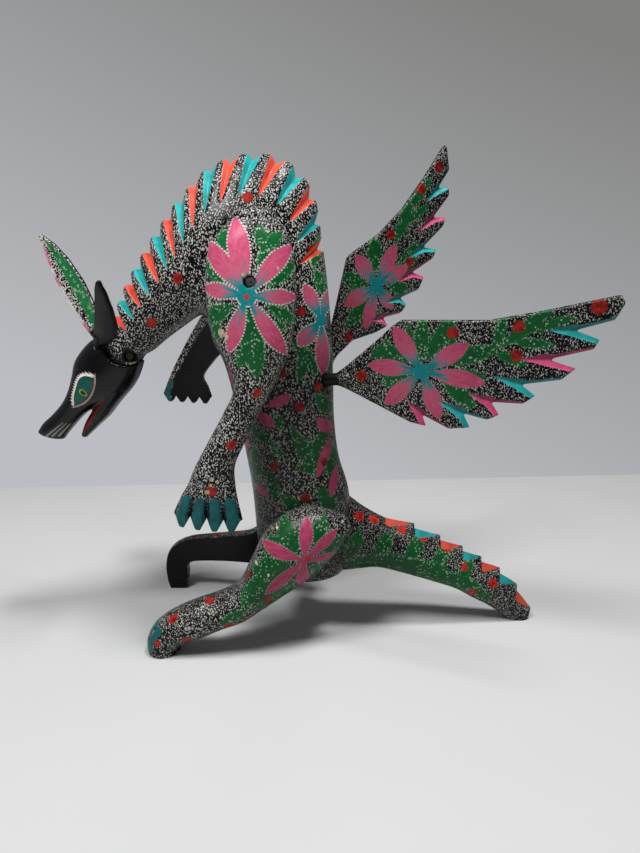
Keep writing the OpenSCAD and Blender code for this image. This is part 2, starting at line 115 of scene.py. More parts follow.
# Board outlines, along the peg's axis and up in the board's plane
LEFT_WING = [
    (4, 4), (15, 10), (42, 27), (55, 36), (63, 40), (79, 38), (127, 32), (165, 34), (213, 38),
    (215, 32), (208, 22), (183, 18), (198, 10), (194, 4), (164, 0), (182, -8), (172, -15),
    (145, -16), (154, -25), (145, -30), (123, -27), (128, -37), (119, -40), (102, -34),
    (106, -45), (90, -45), (71, -33), (73, -42), (61, -38), (35, -22), (12, -8), (4, -4)]
RIGHT_WING = [
    (4, 4), (12, 4), (24, 6), (39, 14), (58, 21), (84, 31), (97, 36), (102, 35), (132, 23),
    (162, 17), (195, 15), (231, 15), (231, 12), (217, -2), (198, -2), (207, -9), (200, -15),
    (175, -13), (184, -22), (176, -26), (149, -20), (156, -32), (147, -34), (125, -24),
    (129, -36), (116, -38), (100, -27), (99, -36), (89, -35), (76, -23), (73, -31), (61, -24),
    (43, -9), (24, -4), (12, -4), (4, -4)]
LEFT_EAR = [
    (2, 3), (10, 3.5), (26, 3), (50, 2.5), (66, 2.5), (74, 1.5), (76, -1), (66, -6.5),
    (50, -11.5), (32, -15), (18, -14.5), (9, -10), (2, -3)]
RIGHT_EAR = [
    (2, 3), (8, 8), (24, 15), (44, 17), (66, 14), (84, 8), (96, 1), (94, -2), (80, -4),
    (60, -7), (34, -7), (12, -5), (2, -3)]
# Valleys cut into the trailing edge: apex of the notch, inner end, colour (0 teal, 2 pink)
LEFT_NOTCHES = [((183, 18), (166, 20), 0), ((164, 0), (146, 2), 2), ((145, -16), (126, -8), 0),
                ((123, -27), (107, -19), 2), ((102, -34), (84, -23), 0), ((71, -33), (61, -22), 2)]
RIGHT_NOTCHES = [((198, -2), (180, 2), 0), ((175, -13), (156, -7), 2), ((149, -20), (131, -12), 0),
                 ((125, -24), (109, -16), 2), ((100, -27), (87, -16), 0), ((76, -23), (66, -13), 2)]
# Point, turn about Z, tilt up and roll of each plugged piece
LEFT_WING_AT = ((9, -22, 219), -23, 8, 0)
RIGHT_WING_AT = ((-1, 22, 216), 24, 55, 0)
LEFT_EAR_AT = ((-178, -15, 247), -68, 40, 45)
RIGHT_EAR_AT = ((-187, 11, 250), 167, 61, 0)
PIN_AT = (-154, 237)
SHOULDER = (-50, 295)
# Radius of each bore, where its floor lies along the bore's axis, and how far out it reaches
WING_SOCKET = (5.4, -6.4, 60)
EAR_SOCKET = (3.9, -3.4, 14)
PIN_HOLE = (4.0, 13.6, 60)
NAIL_HOLE = (4.0, 61.0, 90)
# A distance in the paint layers that is well away from any motif
FAR = 9.0


# ---------------------------------------------------------------- shape helpers
def held(x):
    """Kept between 0 and 1."""
    return np.clip(x, 0, 1)


def around(sides):
    return np.linspace(0, 2 * math.pi, sides, endpoint=False)


def smooth(rows, t):
    """Points of the smooth curve through rows, at t rows from the start; t may have any shape."""
    t = np.asarray(t, float)
    last = len(rows) - 1
    i = np.clip(np.floor(t).astype(int), 0, last - 1)
    f = (t - i)[..., None]
    p, q = rows[np.maximum(i - 1, 0)], rows[i]
    r, s = rows[i + 1], rows[np.minimum(i + 2, last)]
    return q + f * ((r - p) / 2 + f * (p - 2.5 * q + 2 * r - 0.5 * s
                                       + f * (1.5 * (q - r) + (s - p) / 2)))


def ring_xz(s, u):
    """Points between a station's two silhouette points, u being 1 at the first and -1 at the second."""
    x = (s[..., 0] + s[..., 2]) / 2 + (s[..., 0] - s[..., 2]) / 2 * u
    z = (s[..., 1] + s[..., 3]) / 2 + (s[..., 1] - s[..., 3]) / 2 * u
    return x, np.maximum(z, 0)


def trunk_points(s, a):
    """Egg-shaped rings with sides cut flat at the seats."""
    x, z = ring_xz(s, np.cos(a))
    y = (s[..., 5] - s[..., 4]) / 2 * np.sin(a) * (1 - s[..., 6] * np.cos(a))
    return np.stack([x, np.clip(y, -SEAT_Y, SEAT_Y), z], -1)


def moved(s, along, scale):
    """A station taken some way along its own normal and shrunk about its middle."""
    c = (s[:2] + s[2:4]) / 2
    h = (s[:2] - s[2:4]) / 2
    n = np.array([h[1], -h[0]]) / np.hypot(*h) * along
    y, half = (s[4] + s[5]) / 2, (s[5] - s[4]) / 2 * scale
    return np.array([*(c + h * scale + n), *(c - h * scale + n), y - half, y + half, s[6]])


def dome(s, length, count):
    """Stations that round an end off over a length; a negative length faces backwards."""
    angles = np.radians(np.linspace(12, 86, count))
    return [moved(s, length * math.sin(a), math.cos(a)) for a in angles]


def grid_faces(rings, sides):
    i, k = np.meshgrid(np.arange(rings - 1), np.arange(sides), indexing="ij")
    a = i * sides + k
    b = i * sides + (k + 1) % sides
    return np.stack([a, b, b + sides, a + sides], -1).reshape(-1, 4).tolist()


def capped(grid, start_fit=None, levels=6):
    """Vertices and faces of a closed tube of rings; a fit shapes the points of its first cap."""
    rings, sides = grid.shape[:2]
    verts, faces = [grid.reshape(-1, 3)], grid_faces(rings, sides)
    count = rings * sides
    for ring, fit, flip, before in ((grid[0], start_fit, True, 0),
                                    (grid[-1], None, False, (rings - 1) * sides)):
        middle = ring.mean(0)
        for level in range(1, levels + 1):
            k = 1 - level / levels
            pts = middle + (ring - middle) * k if k > 0 else middle[None]
            if fit:
                pts = fit(pts)
            verts.append(pts)
            for j in range(sides):
                n = (j + 1) % sides
                inner = (count + n, count + j) if k > 0 else (count,)
                face = (before + j, before + n) + inner
                faces.append(face[::-1] if flip else face)
            before = count
            count += len(pts)
    return np.concatenate(verts), faces


def tidy_mesh(mesh):
    bm = bmesh.new()
    bm.from_mesh(mesh)
    bmesh.ops.recalc_face_normals(bm, faces=bm.faces)
    if bm.calc_volume() < 0:
        bmesh.ops.reverse_faces(bm, faces=bm.faces)
    bm.to_mesh(mesh)
    bm.free()


def in_scene(name, data):
    obj = bpy.data.objects.new(name, data)
    bpy.context.scene.collection.objects.link(obj)
    return obj


def new_object(name, verts, faces):
    """An object from points in millimetres in the carving's frame."""
    mesh = bpy.data.meshes.new(name)
    mesh.from_pydata(((verts + SHIFT) / 1000).tolist(), [], faces)
    tidy_mesh(mesh)
    return in_scene(name, mesh)


def padded(values, verts, fill=0.0):
    """Values of a grid's points, then a fill for the points of its end caps."""
    return np.append(values.ravel(), np.full(len(verts) - values.size, fill))


def points_of(obj):
    co = np.zeros(len(obj.data.vertices) * 3)
    obj.data.vertices.foreach_get("co", co)
    return co.reshape(-1, 3) * 1000 - SHIFT


def set_points(obj, pts):
    obj.data.vertices.foreach_set("co", ((pts + SHIFT) / 1000).ravel())
    obj.data.update()


def normals_of(obj):
    n = np.zeros(len(obj.data.vertices) * 3)
    obj.data.vertex_normals.foreach_get("vector", n)
    return n.reshape(-1, 3)


def axes_of(at):
    """Peg axis, board normal and up direction of a plugged piece, as rows."""
    _, az, el, roll = at
    turn = (Matrix.Rotation(math.radians(az), 3, "Z") @ Matrix.Rotation(math.radians(-el), 3, "Y")
            @ Matrix.Rotation(math.radians(roll), 3, "X"))
    return np.array(turn).T


# Points this near to a bore's edge are drawn onto its wall
BORE_EDGE = 1.15


def drill(pts, origin, axis, radius, floor, reach):
    """Sinks the points round an axis to a flat floor, with a round upright wall."""
    axis, origin = np.array(axis, float), np.array(origin, float)
    rel = pts - origin
    along = rel @ axis
    side = rel - along[:, None] * axis
    rho = np.linalg.norm(side, axis=1)
    near = (along > floor) & (along < reach)
    inside = near & (rho < radius)
    rim_in = inside & (rho > radius - BORE_EDGE)
    rim_out = near & (rho >= radius) & (rho < radius + BORE_EDGE)
    unit = side / np.maximum(rho, 1e-6)[:, None]
    out = pts.copy()
    out[inside] = (origin + axis * floor + side)[inside]
    out[rim_in] = (origin + axis * floor + unit * (radius - 0.1))[rim_in]
    out[rim_out] = (origin + along[:, None] * axis + unit * (radius + 0.05))[rim_out]
    return out


def subdivided(places, step):
    """The places with evenly spaced ones between them, at most a step apart."""
    out = [places[0]]
    for a, b in zip(places, places[1:]):
        n = max(1, math.ceil((b - a) / step))
        out += [a + (b - a) * (i + 1) / n for i in range(n)]
    return np.array(out)


def clear_of_joint(rows, angles, t, allowed, until):
    """Stations t pushed along, at each angle, until the surface is clear of the other piece."""
    tried = np.linspace(0, until, 161)
    s = smooth(rows, tried)
    first = np.zeros(len(angles))
    for k, a in enumerate(angles):
        bad = np.nonzero(~allowed(trunk_points(s, a)))[0]
        first[k] = tried[min(bad[-1] + 1, len(tried) - 1)] if len(bad) else 0
    return np.where(t < until, first + t / until * (until - first), t)


def rounded_end(rows, angles, length, count):
    """Rings that round a tube off past its last station."""
    return np.array([trunk_points(s[None], angles) for s in dome(rows[-1], length, count)])


def joined(one, other):
    """Vertices and faces of two shells together."""
    faces = one[1] + [tuple(i + len(one[0]) for i in face) for face in other[1]]
    return np.concatenate([one[0], other[0]]), faces


NECK_DIR = -np.array([math.cos(NECK_TILT), math.sin(NECK_TILT)])


def neck_terms(p):
    """How far points lie along the neck's direction past its end, and how far from its centre."""
    q = p[..., [0, 2]] - NECK_END
    return q @ NECK_DIR, np.hypot(q[..., 0], q[..., 1])


def neck_keeps(p):
    """Whether points belong to the neck's side of its rounded joint."""
    along, far = neck_terms(p)
    return (along < NECK_FACE) | (far < NECK_R)


def head_keeps(p):
    return ~neck_keeps(p)


def on_neck_arc(p):
    """Moves points along the neck's direction onto the joint's rounded face."""
    q = p[..., [0, 2]] - NECK_END
    across = q - (q @ NECK_DIR)[..., None] * NECK_DIR
    w = np.hypot(across[..., 0], across[..., 1])
    depth = np.sqrt(np.maximum(NECK_R ** 2 - w ** 2, NECK_FACE ** 2))
    out = p.copy()
    out[..., [0, 2]] = NECK_END + across + depth[..., None] * NECK_DIR
    return out


# ---------------------------------------------------------------- the trunk with its crest
CREST_GROOVES = 17
GROOVE_DEPTH = 6.0
GROOVE_W = 10.0
# Flat ground beside a groove, spacing of the rings, and how far the rump's end is rounded
GROOVE_LAND = 1.6
RING_STEP = 1.4
RUMP_DOME = 11.0


def groove_at(i):
    """Place of a groove on the ridge; they stand further apart towards the shoulders."""
    return 20 + 13.7 * i + 0.21 * i * i


def groove_share(i):
    """Near 0 at the crest's ends and 1 in its middle."""
    return math.sin(math.pi * (i + 1) / (CREST_GROOVES + 2))


def groove_half(i):
    return GROOVE_W / 2 + 1.5 * groove_share(i)


def groove_reach(i):
    return 16 + 22 * groove_share(i)


def groove_taper(away, i):
    return held(1 - away / groove_reach(i)) ** 0.6


def ridge_scale():
    """Stations along the trunk, and their distance on the ridge counted from the second one."""
    fine = np.linspace(0, len(TRUNK) - 1, 2001)
    ridge = smooth(TRUNK, fine)[:, :2]
    length = np.concatenate([[0], np.cumsum(np.hypot(*np.diff(ridge, axis=0).T))])
    return fine, length - np.interp(1, fine, length)


def ring_places(start, clear, end):
    """Where the rings lie on the ridge, with one at the middle and at both edges of a groove."""
    lines = [start, clear]
    for i in range(CREST_GROOVES):
        lines += [groove_at(i) - groove_half(i), groove_at(i), groove_at(i) + groove_half(i)]
    return subdivided(lines + [end], RING_STEP)


def groove_shape(base, away):
    """How far the grooves draw the surface's lines together, and how deep they cut."""
    depth, shift = np.zeros_like(base), np.zeros_like(base)
    for i in range(CREST_GROOVES):
        half = groove_half(i)
        off = base - groove_at(i)
        taper = groove_taper(away, i)
        hold = held(1 - (np.abs(off) - half) / GROOVE_LAND)
        # past its lower end a groove's lines spread out again
        drawn = (1 - np.maximum(taper, 0.12)) * held(1.1 - (away - groove_reach(i)) / 14)
        shift -= np.clip(off, -half, half) * drawn * hold
        depth = np.maximum(depth, GROOVE_DEPTH * held(1 - np.abs(off) / half) * taper)
    return shift, depth


def groove_paint(where, away):
    """Distance to the nearest groove's walls, and 1 where they are coral."""
    walls, coral = np.full(where.shape, FAR), np.zeros(where.shape)
    for i in range(CREST_GROOVES):
        taper = groove_taper(away, i)
        d = np.abs(where - groove_at(i)) - groove_half(i) * taper
        d = np.where(taper > 0.02, d, FAR)
        coral[d < walls] = 1 - i % 2
        walls = np.minimum(walls, d)
    return walls, coral


def make_trunk():
    sides = 210
    angles = around(sides)
    fine, length = ridge_scale()
    clear = groove_at(0) - groove_half(0) - 5
    base = np.repeat(ring_places(length[0], clear, length[-1])[:, None], sides, 1)
    stations = smooth(TRUNK, np.interp(base, length, fine))
    width = np.hypot(*np.moveaxis(stations[..., :2] - stations[..., 2:4], -1, 0))
    away = width * (1 - np.cos(angles))[None] / 2
    shift, depth = groove_shape(base, away)
    t = np.interp(base + shift, length, fine)
    # the neck's end follows its rounded joint
    until = float(np.interp(clear, length, fine))
    t = clear_of_joint(TRUNK, angles, t, neck_keeps, until)
    grid = trunk_points(smooth(TRUNK, t), angles[None])
    inward = grid.mean(1, keepdims=True) - grid
    inward /= np.linalg.norm(inward, axis=-1, keepdims=True)
    grid += inward * depth[..., None]
    grid_and_rump = np.concatenate([grid, rounded_end(TRUNK, angles, RUMP_DOME, 12)])
    verts, faces = capped(grid_and_rump, start_fit=on_neck_arc)
    for at in (LEFT_WING_AT, RIGHT_WING_AT):
        verts = drill(verts, at[0], axes_of(at)[0], *WING_SOCKET)
    verts = drill(verts, (PIN_AT[0], 0, PIN_AT[1]), (0, -1, 0), *PIN_HOLE)
    walls, coral = groove_paint(base + shift, away)
    cuts = {"groove": padded(walls, verts, FAR), "hue": padded(coral, verts)}
    return new_object("carved_body", verts, faces), cuts


# ---------------------------------------------------------------- the stepped tail
TAIL_STEPS = 7
STEP_H = 4.5
# Station where the steps begin, share of a step that rises, and how far down the sides it reaches
STEP_FIRST = 3
STEP_RISE = 0.93
STEP_REACH = 9


def make_tail():
    sides = 150
    angles = around(sides)
    last = len(TAIL) - 1
    span = (last - STEP_FIRST) / TAIL_STEPS
    marks = [0.0, float(STEP_FIRST)]
    for i in range(TAIL_STEPS):
        marks += [STEP_FIRST + span * (i + STEP_RISE), STEP_FIRST + span * (i + 1)]
    t = np.repeat(subdivided(marks, 0.055)[:, None], sides, 1)
    grid = trunk_points(smooth(TAIL, t), angles[None])
    top = trunk_points(smooth(TAIL, t[:, :1]), 0 * t[:, :1])
    away = np.linalg.norm(grid - top, axis=-1)
    part = (t - STEP_FIRST) / span
    step = np.floor(part + 1e-9)
    f = held(part - step)
    rise = np.where(f <= STEP_RISE, f / STEP_RISE, (1 - f) / (1 - STEP_RISE))
    rise = np.where((part > 0) & (step < TAIL_STEPS), rise, 0)
    lift = STEP_H * rise * held(1 - away / STEP_REACH)
    grid += lift[..., None] * np.array([0.3, 0, 1.0])
    verts, faces = capped(grid)
    # the painted facet tapers towards the step's edge
    facet = np.maximum(away - 9.5 * np.clip(1.15 - 1.2 * f, 0.2, 1), (f - 0.78) * 16)
    facet = np.maximum(facet, np.where(part > -0.05, -1, FAR))
    facet = np.where(step < TAIL_STEPS, facet, FAR)
    cuts = {"groove": padded(facet, verts, FAR), "hue": padded((step + 1) % 2, verts)}
    return new_object("stepped_tail", verts, faces), cuts


# ---------------------------------------------------------------- arms and legs
FINGERS = 4
FINGERTIP = 3.6
# Rings of the fingertips, which together span this share of a station
TIP_RINGS = np.linspace(0.1, 1, 10)
TIP_SHARE = 0.4


def tooth(u):
    """Straight-sided fingertips with flat ends."""
    return np.minimum(1.35 * (1 - np.abs(1 - np.mod(FINGERS * (u + 1), 2))), 1)


def finger(u):
    """0 between the fingers and 1 along their middles."""
    return np.abs(np.sin(math.pi * FINGERS * (u + 1) / 2))


def limb_points(s, a):
    """Domed outside, flat inside, with grooves between the fingers."""
    u = -np.cos(a)
    x, z = ring_xz(s, u)
    thick = s[..., 5] - s[..., 4]
    side = np.sign(s[..., 5])
    y = np.maximum(0.75 * (1 + np.sin(a)) - 0.5, 0) * thick
    groove = 1 - 0.5 * s[..., 6] * (1 - np.minimum(1.25 * finger(u), 1))
    y = s[..., 4] + y * groove
    return np.stack([x, side * np.maximum(side * y, SEAT_Y), z], -1)


def laddered(grid):
    """A closed tube of rings whose end caps join each point to the one across the thickness."""
    rings, sides = grid.shape[:2]
    faces = grid_faces(rings, sides)
    last = (rings - 1) * sides
    for k in range(sides // 2):
        a, b, c, d = k, k + 1, (sides - k - 1) % sides, (sides - k) % sides
        quad = [a, b, c, d] if k and k + 1 != sides // 2 else ([a, b, c] if not k else [a, b, d])
        faces.append(quad)
        faces.append([last + q for q in quad[::-1]])
    return grid.reshape(-1, 3), faces


def make_limb(name, rows, top, hand):
    """A limb with its top rounded over a length; hand is how deep its fingertips are cut apart."""
    sides = 168
    angles = around(sides)
    t = subdivided(range(len(rows)), 0.06)
    cap = dome(rows[0], top, 12)[::-1]
    stations = np.concatenate([np.array(cap), smooth(rows, t)])
    place = np.concatenate([np.zeros(len(cap)), t])
    grid = limb_points(stations[:, None, :], angles[None])
    u = -np.cos(angles)
    if hand:
        tips = []
        shape = tooth(u)
        for e in TIP_RINGS:
            s = moved(rows[-1], FINGERTIP * e, 1 - 0.04 * e)
            ring = limb_points(s[None], angles)
            ring[:, 2] += hand * e * (0.4 - shape)
            tips.append(ring)
        grid = np.concatenate([grid, np.array(tips)])
        place = np.concatenate([place, place[-1] + TIP_RINGS * TIP_SHARE])
    verts, faces = laddered(grid)
    side = np.sign(rows[0][5])
    if hand:
        verts = drill(verts, (SHOULDER[0], 0, SHOULDER[1]), (0, side, 0), *NAIL_HOLE)
    return new_object(name, verts, faces), np.repeat(place, sides), np.tile(u, len(place))


# ---------------------------------------------------------------- remeshed pieces
def remeshed(name, verts, faces, voxel):
    """One watertight skin over closed shells that overlap; points in millimetres."""
    mesh = bpy.data.meshes.new(name)
    mesh.from_pydata((np.asarray(verts) / 1000).tolist(), [], faces)
    obj = in_scene(name, mesh)
    tidy_mesh(mesh)
    skin = obj.modifiers.new("skin", "REMESH")
    skin.mode = "VOXEL"
    skin.voxel_size = voxel / 1000
    skin.use_smooth_shade = True
    graph = bpy.context.evaluated_depsgraph_get()
    done = bpy.data.meshes.new_from_object(obj.evaluated_get(graph))
    obj.modifiers.clear()
    obj.data = done
    done.name = name
    bpy.data.meshes.remove(mesh)
    co = np.zeros(len(done.vertices) * 3)
    done.vertices.foreach_get("co", co)
    return obj, co.reshape(-1, 3) * 1000


def relaxed(obj, pts, times=2):
    """Evens out the steps that a voxel skin has on slanted faces."""
    edges = np.zeros(len(obj.data.edges) * 2, int)
    obj.data.edges.foreach_get("vertices", edges)
    edges = edges.reshape(-1, 2)
    count = np.bincount(edges.ravel(), minlength=len(pts))[:, None]
    for _ in range(times):
        total = np.zeros_like(pts)
        np.add.at(total, edges[:, 0], pts[edges[:, 1]])
        np.add.at(total, edges[:, 1], pts[edges[:, 0]])
        pts = (pts + total / np.maximum(count, 1)) / 2
    return pts


HEAD_VOXEL = 0.75
# Where the skull's rings stop following the neck's joint
SKULL_CLEAR = 2.5
NOSTRIL = (-229.5, 175.5)
# How far the tips of the snout and jaw are rounded
HEAD_ROUND = 2.0
# Upper and lower end of the eye, and how far its two lids stand out from the line between them
EYE_TOP = np.array([-181, 221])
EYE_TIP = np.array([-202.5, 195])
UPPER_LID = 8.6
LOWER_LID = 6.0


def eye_terms(p):
    """Distance to the eye's outline, negative inside, and the places along (u) and across it (v)."""
    size = np.hypot(*(EYE_TIP - EYE_TOP))
    d = (EYE_TIP - EYE_TOP) / size
    rel = p - (EYE_TOP + EYE_TIP) / 2
    u = rel @ d
    v = rel[:, 0] * -d[1] + rel[:, 1] * d[0]
    r_up, r_low = (size * size / 8 / lid + lid / 2 for lid in (UPPER_LID, LOWER_LID))
    upper = np.hypot(u, v - r_up + UPPER_LID) - r_up
    lower = np.hypot(u, v + r_low - LOWER_LID) - r_low
    # a disc, smoothly joined on, makes the upper end full
    disc = np.hypot(u + size * 0.2, v + 2) - UPPER_LID
    blend = np.clip(6 - np.abs(upper - disc), 0, None)
    return np.maximum(np.minimum(upper, disc) - blend * blend / 24, lower), u, v


def carved_face(pts):
    """Raises the eyes a little from the cheeks, inside a carved line, and sinks the nostrils."""
    eye, _, _ = eye_terms(pts[:, [0, 2]])
    side, wide = np.sign(pts[:, 1]), np.abs(pts[:, 1])
    cheek = held((wide - 8) / 4)
    bulge = 1.5 * np.sqrt(held(-eye / UPPER_LID)) - 0.5 * np.exp(-(eye / 0.9) ** 2)
    hole = np.hypot(pts[:, 0] - NOSTRIL[0], pts[:, 2] - NOSTRIL[1])
    bulge -= 0.9 * held(1 - hole / 2.0)
    return pts + np.outer(side * cheek * bulge, (0, 1, 0))


def make_head():
    sides = 96
    angles = around(sides)
    t = np.repeat(subdivided(range(len(SKULL)), 0.12)[:, None], sides, 1)
    t = clear_of_joint(SKULL, angles, t, head_keeps, SKULL_CLEAR)
    rings = trunk_points(smooth(SKULL, t), angles[None])
    nose = rounded_end(SKULL, angles, -HEAD_ROUND, 6)
    skull = capped(np.concatenate([rings, nose]), start_fit=on_neck_arc)
    t = subdivided(range(len(JAW)), 0.12)[:, None]
    rings = trunk_points(smooth(JAW, t), angles[None])
    jaw = capped(np.concatenate([rings, rounded_end(JAW, angles, -HEAD_ROUND, 6)]))
    obj, pts = remeshed("lacquered_head", *joined(skull, jaw), HEAD_VOXEL)
    pts = carved_face(relaxed(obj, pts))
    along, far = neck_terms(pts)
    # the seam is drawn back onto the joint's rounded face
    seam = (along > NECK_FACE - 1) & (far < NECK_R + 0.9) & (np.abs(pts[:, 1]) < 22)
    q = pts[seam][:, [0, 2]] - NECK_END
    q *= ((NECK_R + 0.12) / np.hypot(q[:, 0], q[:, 1]))[:, None]
    pts[seam, 0] = NECK_END[0] + q[:, 0]
    pts[seam, 2] = NECK_END[1] + q[:, 1]
    for at in (LEFT_EAR_AT, RIGHT_EAR_AT):
        pts = drill(pts, at[0], axes_of(at)[0], *EAR_SOCKET)
    set_points(obj, pts)
    return obj


# ---------------------------------------------------------------- boards: wings and ears
def prism(outline, thick):
    """A closed board from an outline, along its peg axis, its normal and up."""
    n = len(outline)
    verts = [(x, side * thick / 2, z) for side in (-1, 1) for x, z in outline]
    tris = tessellate_polygon([[Vector((x, z, 0)) for x, z in outline]])
    faces = [tuple(t) for t in tris] + [tuple(i + n for i in reversed(t)) for t in tris]
    faces += [(i, (i + 1) % n, (i + 1) % n + n, i + n) for i in range(n)]
    return verts, faces


def stem(radius, start, end, sides=40):
    a = around(sides)
    ring = np.stack([0 * a, radius * np.cos(a), radius * np.sin(a)], -1)
    grid = np.stack([ring + [x, 0, 0] for x in np.linspace(start, end, 8)])
    return capped(grid, levels=1)


def segment_distance(p, a, b):
    a, b = np.array(a, float), np.array(b, float)
    d = b - a
    t = held(((p - a) @ d) / (d @ d))
    return np.linalg.norm(p - (a + t[:, None] * d), axis=1), t


def outline_distance(p, outline):
    """How far inside an outline each point lies."""
    best = np.full(len(p), 9e9)
    for a, b in zip(outline, outline[1:] + outline[:1]):
        best = np.minimum(best, segment_distance(p, a, b)[0])
    return best


# Half widths of the V cuts along the feathers' upper and lower edges
VALLEY_HIGH = 2.7
VALLEY_LOW = 4.6


def valleys(p, outline, notches):
    """How deep the V cuts run at each point, 0 to 1, their paint's distance, colour, and the painted shade
    of their upper walls.
    """
    cut = np.zeros(len(p))
    paint = np.full(len(p), FAR)
    hue, shade = np.zeros(len(p)), np.zeros(len(p))
    for apex, inner, colour in notches:
        k = min(range(len(outline)), key=lambda i: math.dist(outline[i], apex))
        d, s = segment_distance(p, apex, inner)
        width = VALLEY_LOW * (1 - s)
        cut = np.maximum(cut, (1 - s) * held(1 - d / np.maximum(width, 0.01)))
        mark = d - width * 0.95 + (s > 0.97) * 2
        for tip, wide in ((outline[k - 1], VALLEY_HIGH), (outline[k + 1], VALLEY_LOW)):
            e, f = segment_distance(p, outline[k], tip)
            w = wide * (1 - 0.35 * f)
            cut = np.maximum(cut, held(1 - e / w))
            mark = np.minimum(mark, e - w * 0.95)
        # painted shade on the wall above the line from the inner end to the apex, none on the wall below
        (ax, az), (bx, bz), (cx, cz) = inner, apex, outline[k - 1]
        upper = (bx - ax) * (cz - az) - (bz - az) * (cx - ax)
        here = (bx - ax) * (p[:, 1] - az) - (bz - az) * (p[:, 0] - ax)
        closer = mark < paint
        hue[closer] = colour
        shade[closer] = held(0.5 + np.sign(upper) * here / math.dist(inner, apex))[closer]
        paint = np.minimum(paint, mark)
    return cut, paint, hue, shade


def make_board(name, at, outline, notches, thick, stem_r, stem_in, voxel, cup=0.0, inner=1.0):
    """A board with its stem; a cup hollows the side that inner points to and bends the edges up."""
    rod = stem(stem_r, -stem_in, stem_r * 3.4)
    obj, pts = remeshed(name, *joined(prism(outline, thick), rod), voxel)
    pts = relaxed(obj, pts)
    flat = pts[:, [0, 2]]
    edge = outline_distance(flat, outline)
    cut, paint, hue, shade = valleys(flat, outline, notches)
    blend = held((pts[:, 0] - stem_r * 2) / (stem_r * 1.6))
    blend = np.maximum(blend, held((np.abs(pts[:, 2]) - stem_r) / 2))
    round_off = 0.5 + 0.5 * np.sqrt(1 - (1 - held(edge / 2.2)) ** 2)
    scale = round_off * (1 - 0.9 * cut)
    local = pts.copy()
    local[:, 1] *= 1 + blend * (scale - 1)
    if cup:
        hollow = held(edge / 5) * blend * held(local[:, 1] * inner / (thick / 2))
        local[:, 1] -= inner * 1.5 * hollow
        local[:, 1] += inner * cup * blend * (local[:, 2] / 10) ** 2
    axes = axes_of(at)
    set_points(obj, np.array(at[0]) + local @ axes)
    return obj, {"groove": paint, "hue": hue, "shade": shade}, local, edge


# ---------------------------------------------------------------- painted motifs
# What each paint layer holds where a piece has nothing of it
BLANK = {"petal": FAR, "leaf": FAR, "dot": FAR, "heart": FAR, "chip_and_glint": FAR, "fx": 99.0, "fz": 0.0,
         "groove": FAR, "hue": 0.0, "plain_black_and_shade": 0.0, "toe": FAR, "mix": 0.0, "rim": FAR, "shade": 0.0}
LAYER_LIMIT = 120


def leaf_sdf(p, ax, az, bx, bz, half, full=0.55):
    """Rough distance to a leaf or petal from a to b, widest at the share full of its length."""
    d = np.array([bx - ax, bz - az], float)
    size = np.hypot(*d)
    rel = p - (ax, az)
    t = (rel @ d) / size ** 2
    off = np.abs(rel[:, 0] * d[1] - rel[:, 1] * d[0]) / size
    power = math.log(0.5) / math.log(full)
    off = off - half * np.sin(math.pi * held(t) ** power) ** 0.8
    over = np.maximum(np.maximum(-t, t - 1), 0) * size
    return np.hypot(np.maximum(off, 0), over) + np.minimum(off, 0)


def toothed(far, angle, r, phase):
    """Distance to a round dot whose rim has 11 small teeth."""
    return far - r - 0.55 * np.cos(11 * angle + phase)


def dot_sdf(p, x, z, r):
    rel = p - (x, z)
    return toothed(np.hypot(*rel.T), np.arctan2(rel[:, 1], rel[:, 0]), r, x)


def balls(pts, side, dots):
    """Toothed dots round points of the surface, found from x and z and the side they face."""
    out = np.full(len(pts), FAR)
    for *centre, r in dots:
        if len(centre) == 2:
            x, z = centre
            away = np.hypot(pts[:, 0] - x, pts[:, 2] - z)
            k = np.argmin(np.maximum(away, 1.5) * 100 - side * pts[:, 1])
            centre = (x, pts[k, 1], z)
        rel = pts - centre
        angle = np.arctan2(rel[:, 2] + 0.6 * rel[:, 1], rel[:, 0])
        out = np.minimum(out, toothed(np.linalg.norm(rel, axis=1), angle, r, centre[0]))
    return out


def layer(p, items, shape):
    """Distance to the nearest of some shapes."""
    out = np.full(len(p), FAR)
    for item in items:
        out = np.minimum(out, shape(p, *item))
    return out


def motifs(p, plan):
    """Paint layers of one side, with the place from the flower's centre as fx and fz."""
    res = {"petal": layer(p, plan.get("petals", []), leaf_sdf)}
    if "flower" in plan:
        centre, heart, petals = plan["flower"]
        rel = p - centre
        own = layer(p, [(*centre, *tip, half, 0.6) for *tip, half in petals], leaf_sdf)
        # the petals grow together round the centre
        own = np.minimum(own, np.hypot(*rel.T) - heart)
        res.update(petal=np.minimum(res["petal"], own), fx=rel[:, 0], fz=rel[:, 1])
    res["leaf"] = layer(p, plan["leaves"], leaf_sdf) - 0.9
    res["heart"] = layer(p, plan.get("hearts", []), dot_sdf)
    res["chip_and_glint"] = layer(p, plan.get("chips_and_glints", []), dot_sdf)
    return res


def two_sided(pts, near_plan, far_plan):
    """Motifs seen from the side, one plan for the near side and one for the far side."""
    flat = pts[:, [0, 2]]
    near, far = motifs(flat, near_plan), motifs(flat, far_plan)
    res = {name: np.where(pts[:, 1] < 0, near[name], far[name]) for name in near}
    res["dot"] = np.minimum(balls(pts, -1, near_plan["dots"]), balls(pts, 1, far_plan["dots"]))
    # nothing crosses from one side to the other over the ridge
    for name in ("petal", "leaf", "dot", "chip_and_glint"):
        res[name] += np.clip(3 - np.abs(pts[:, 1]), 0, 3)
    return res


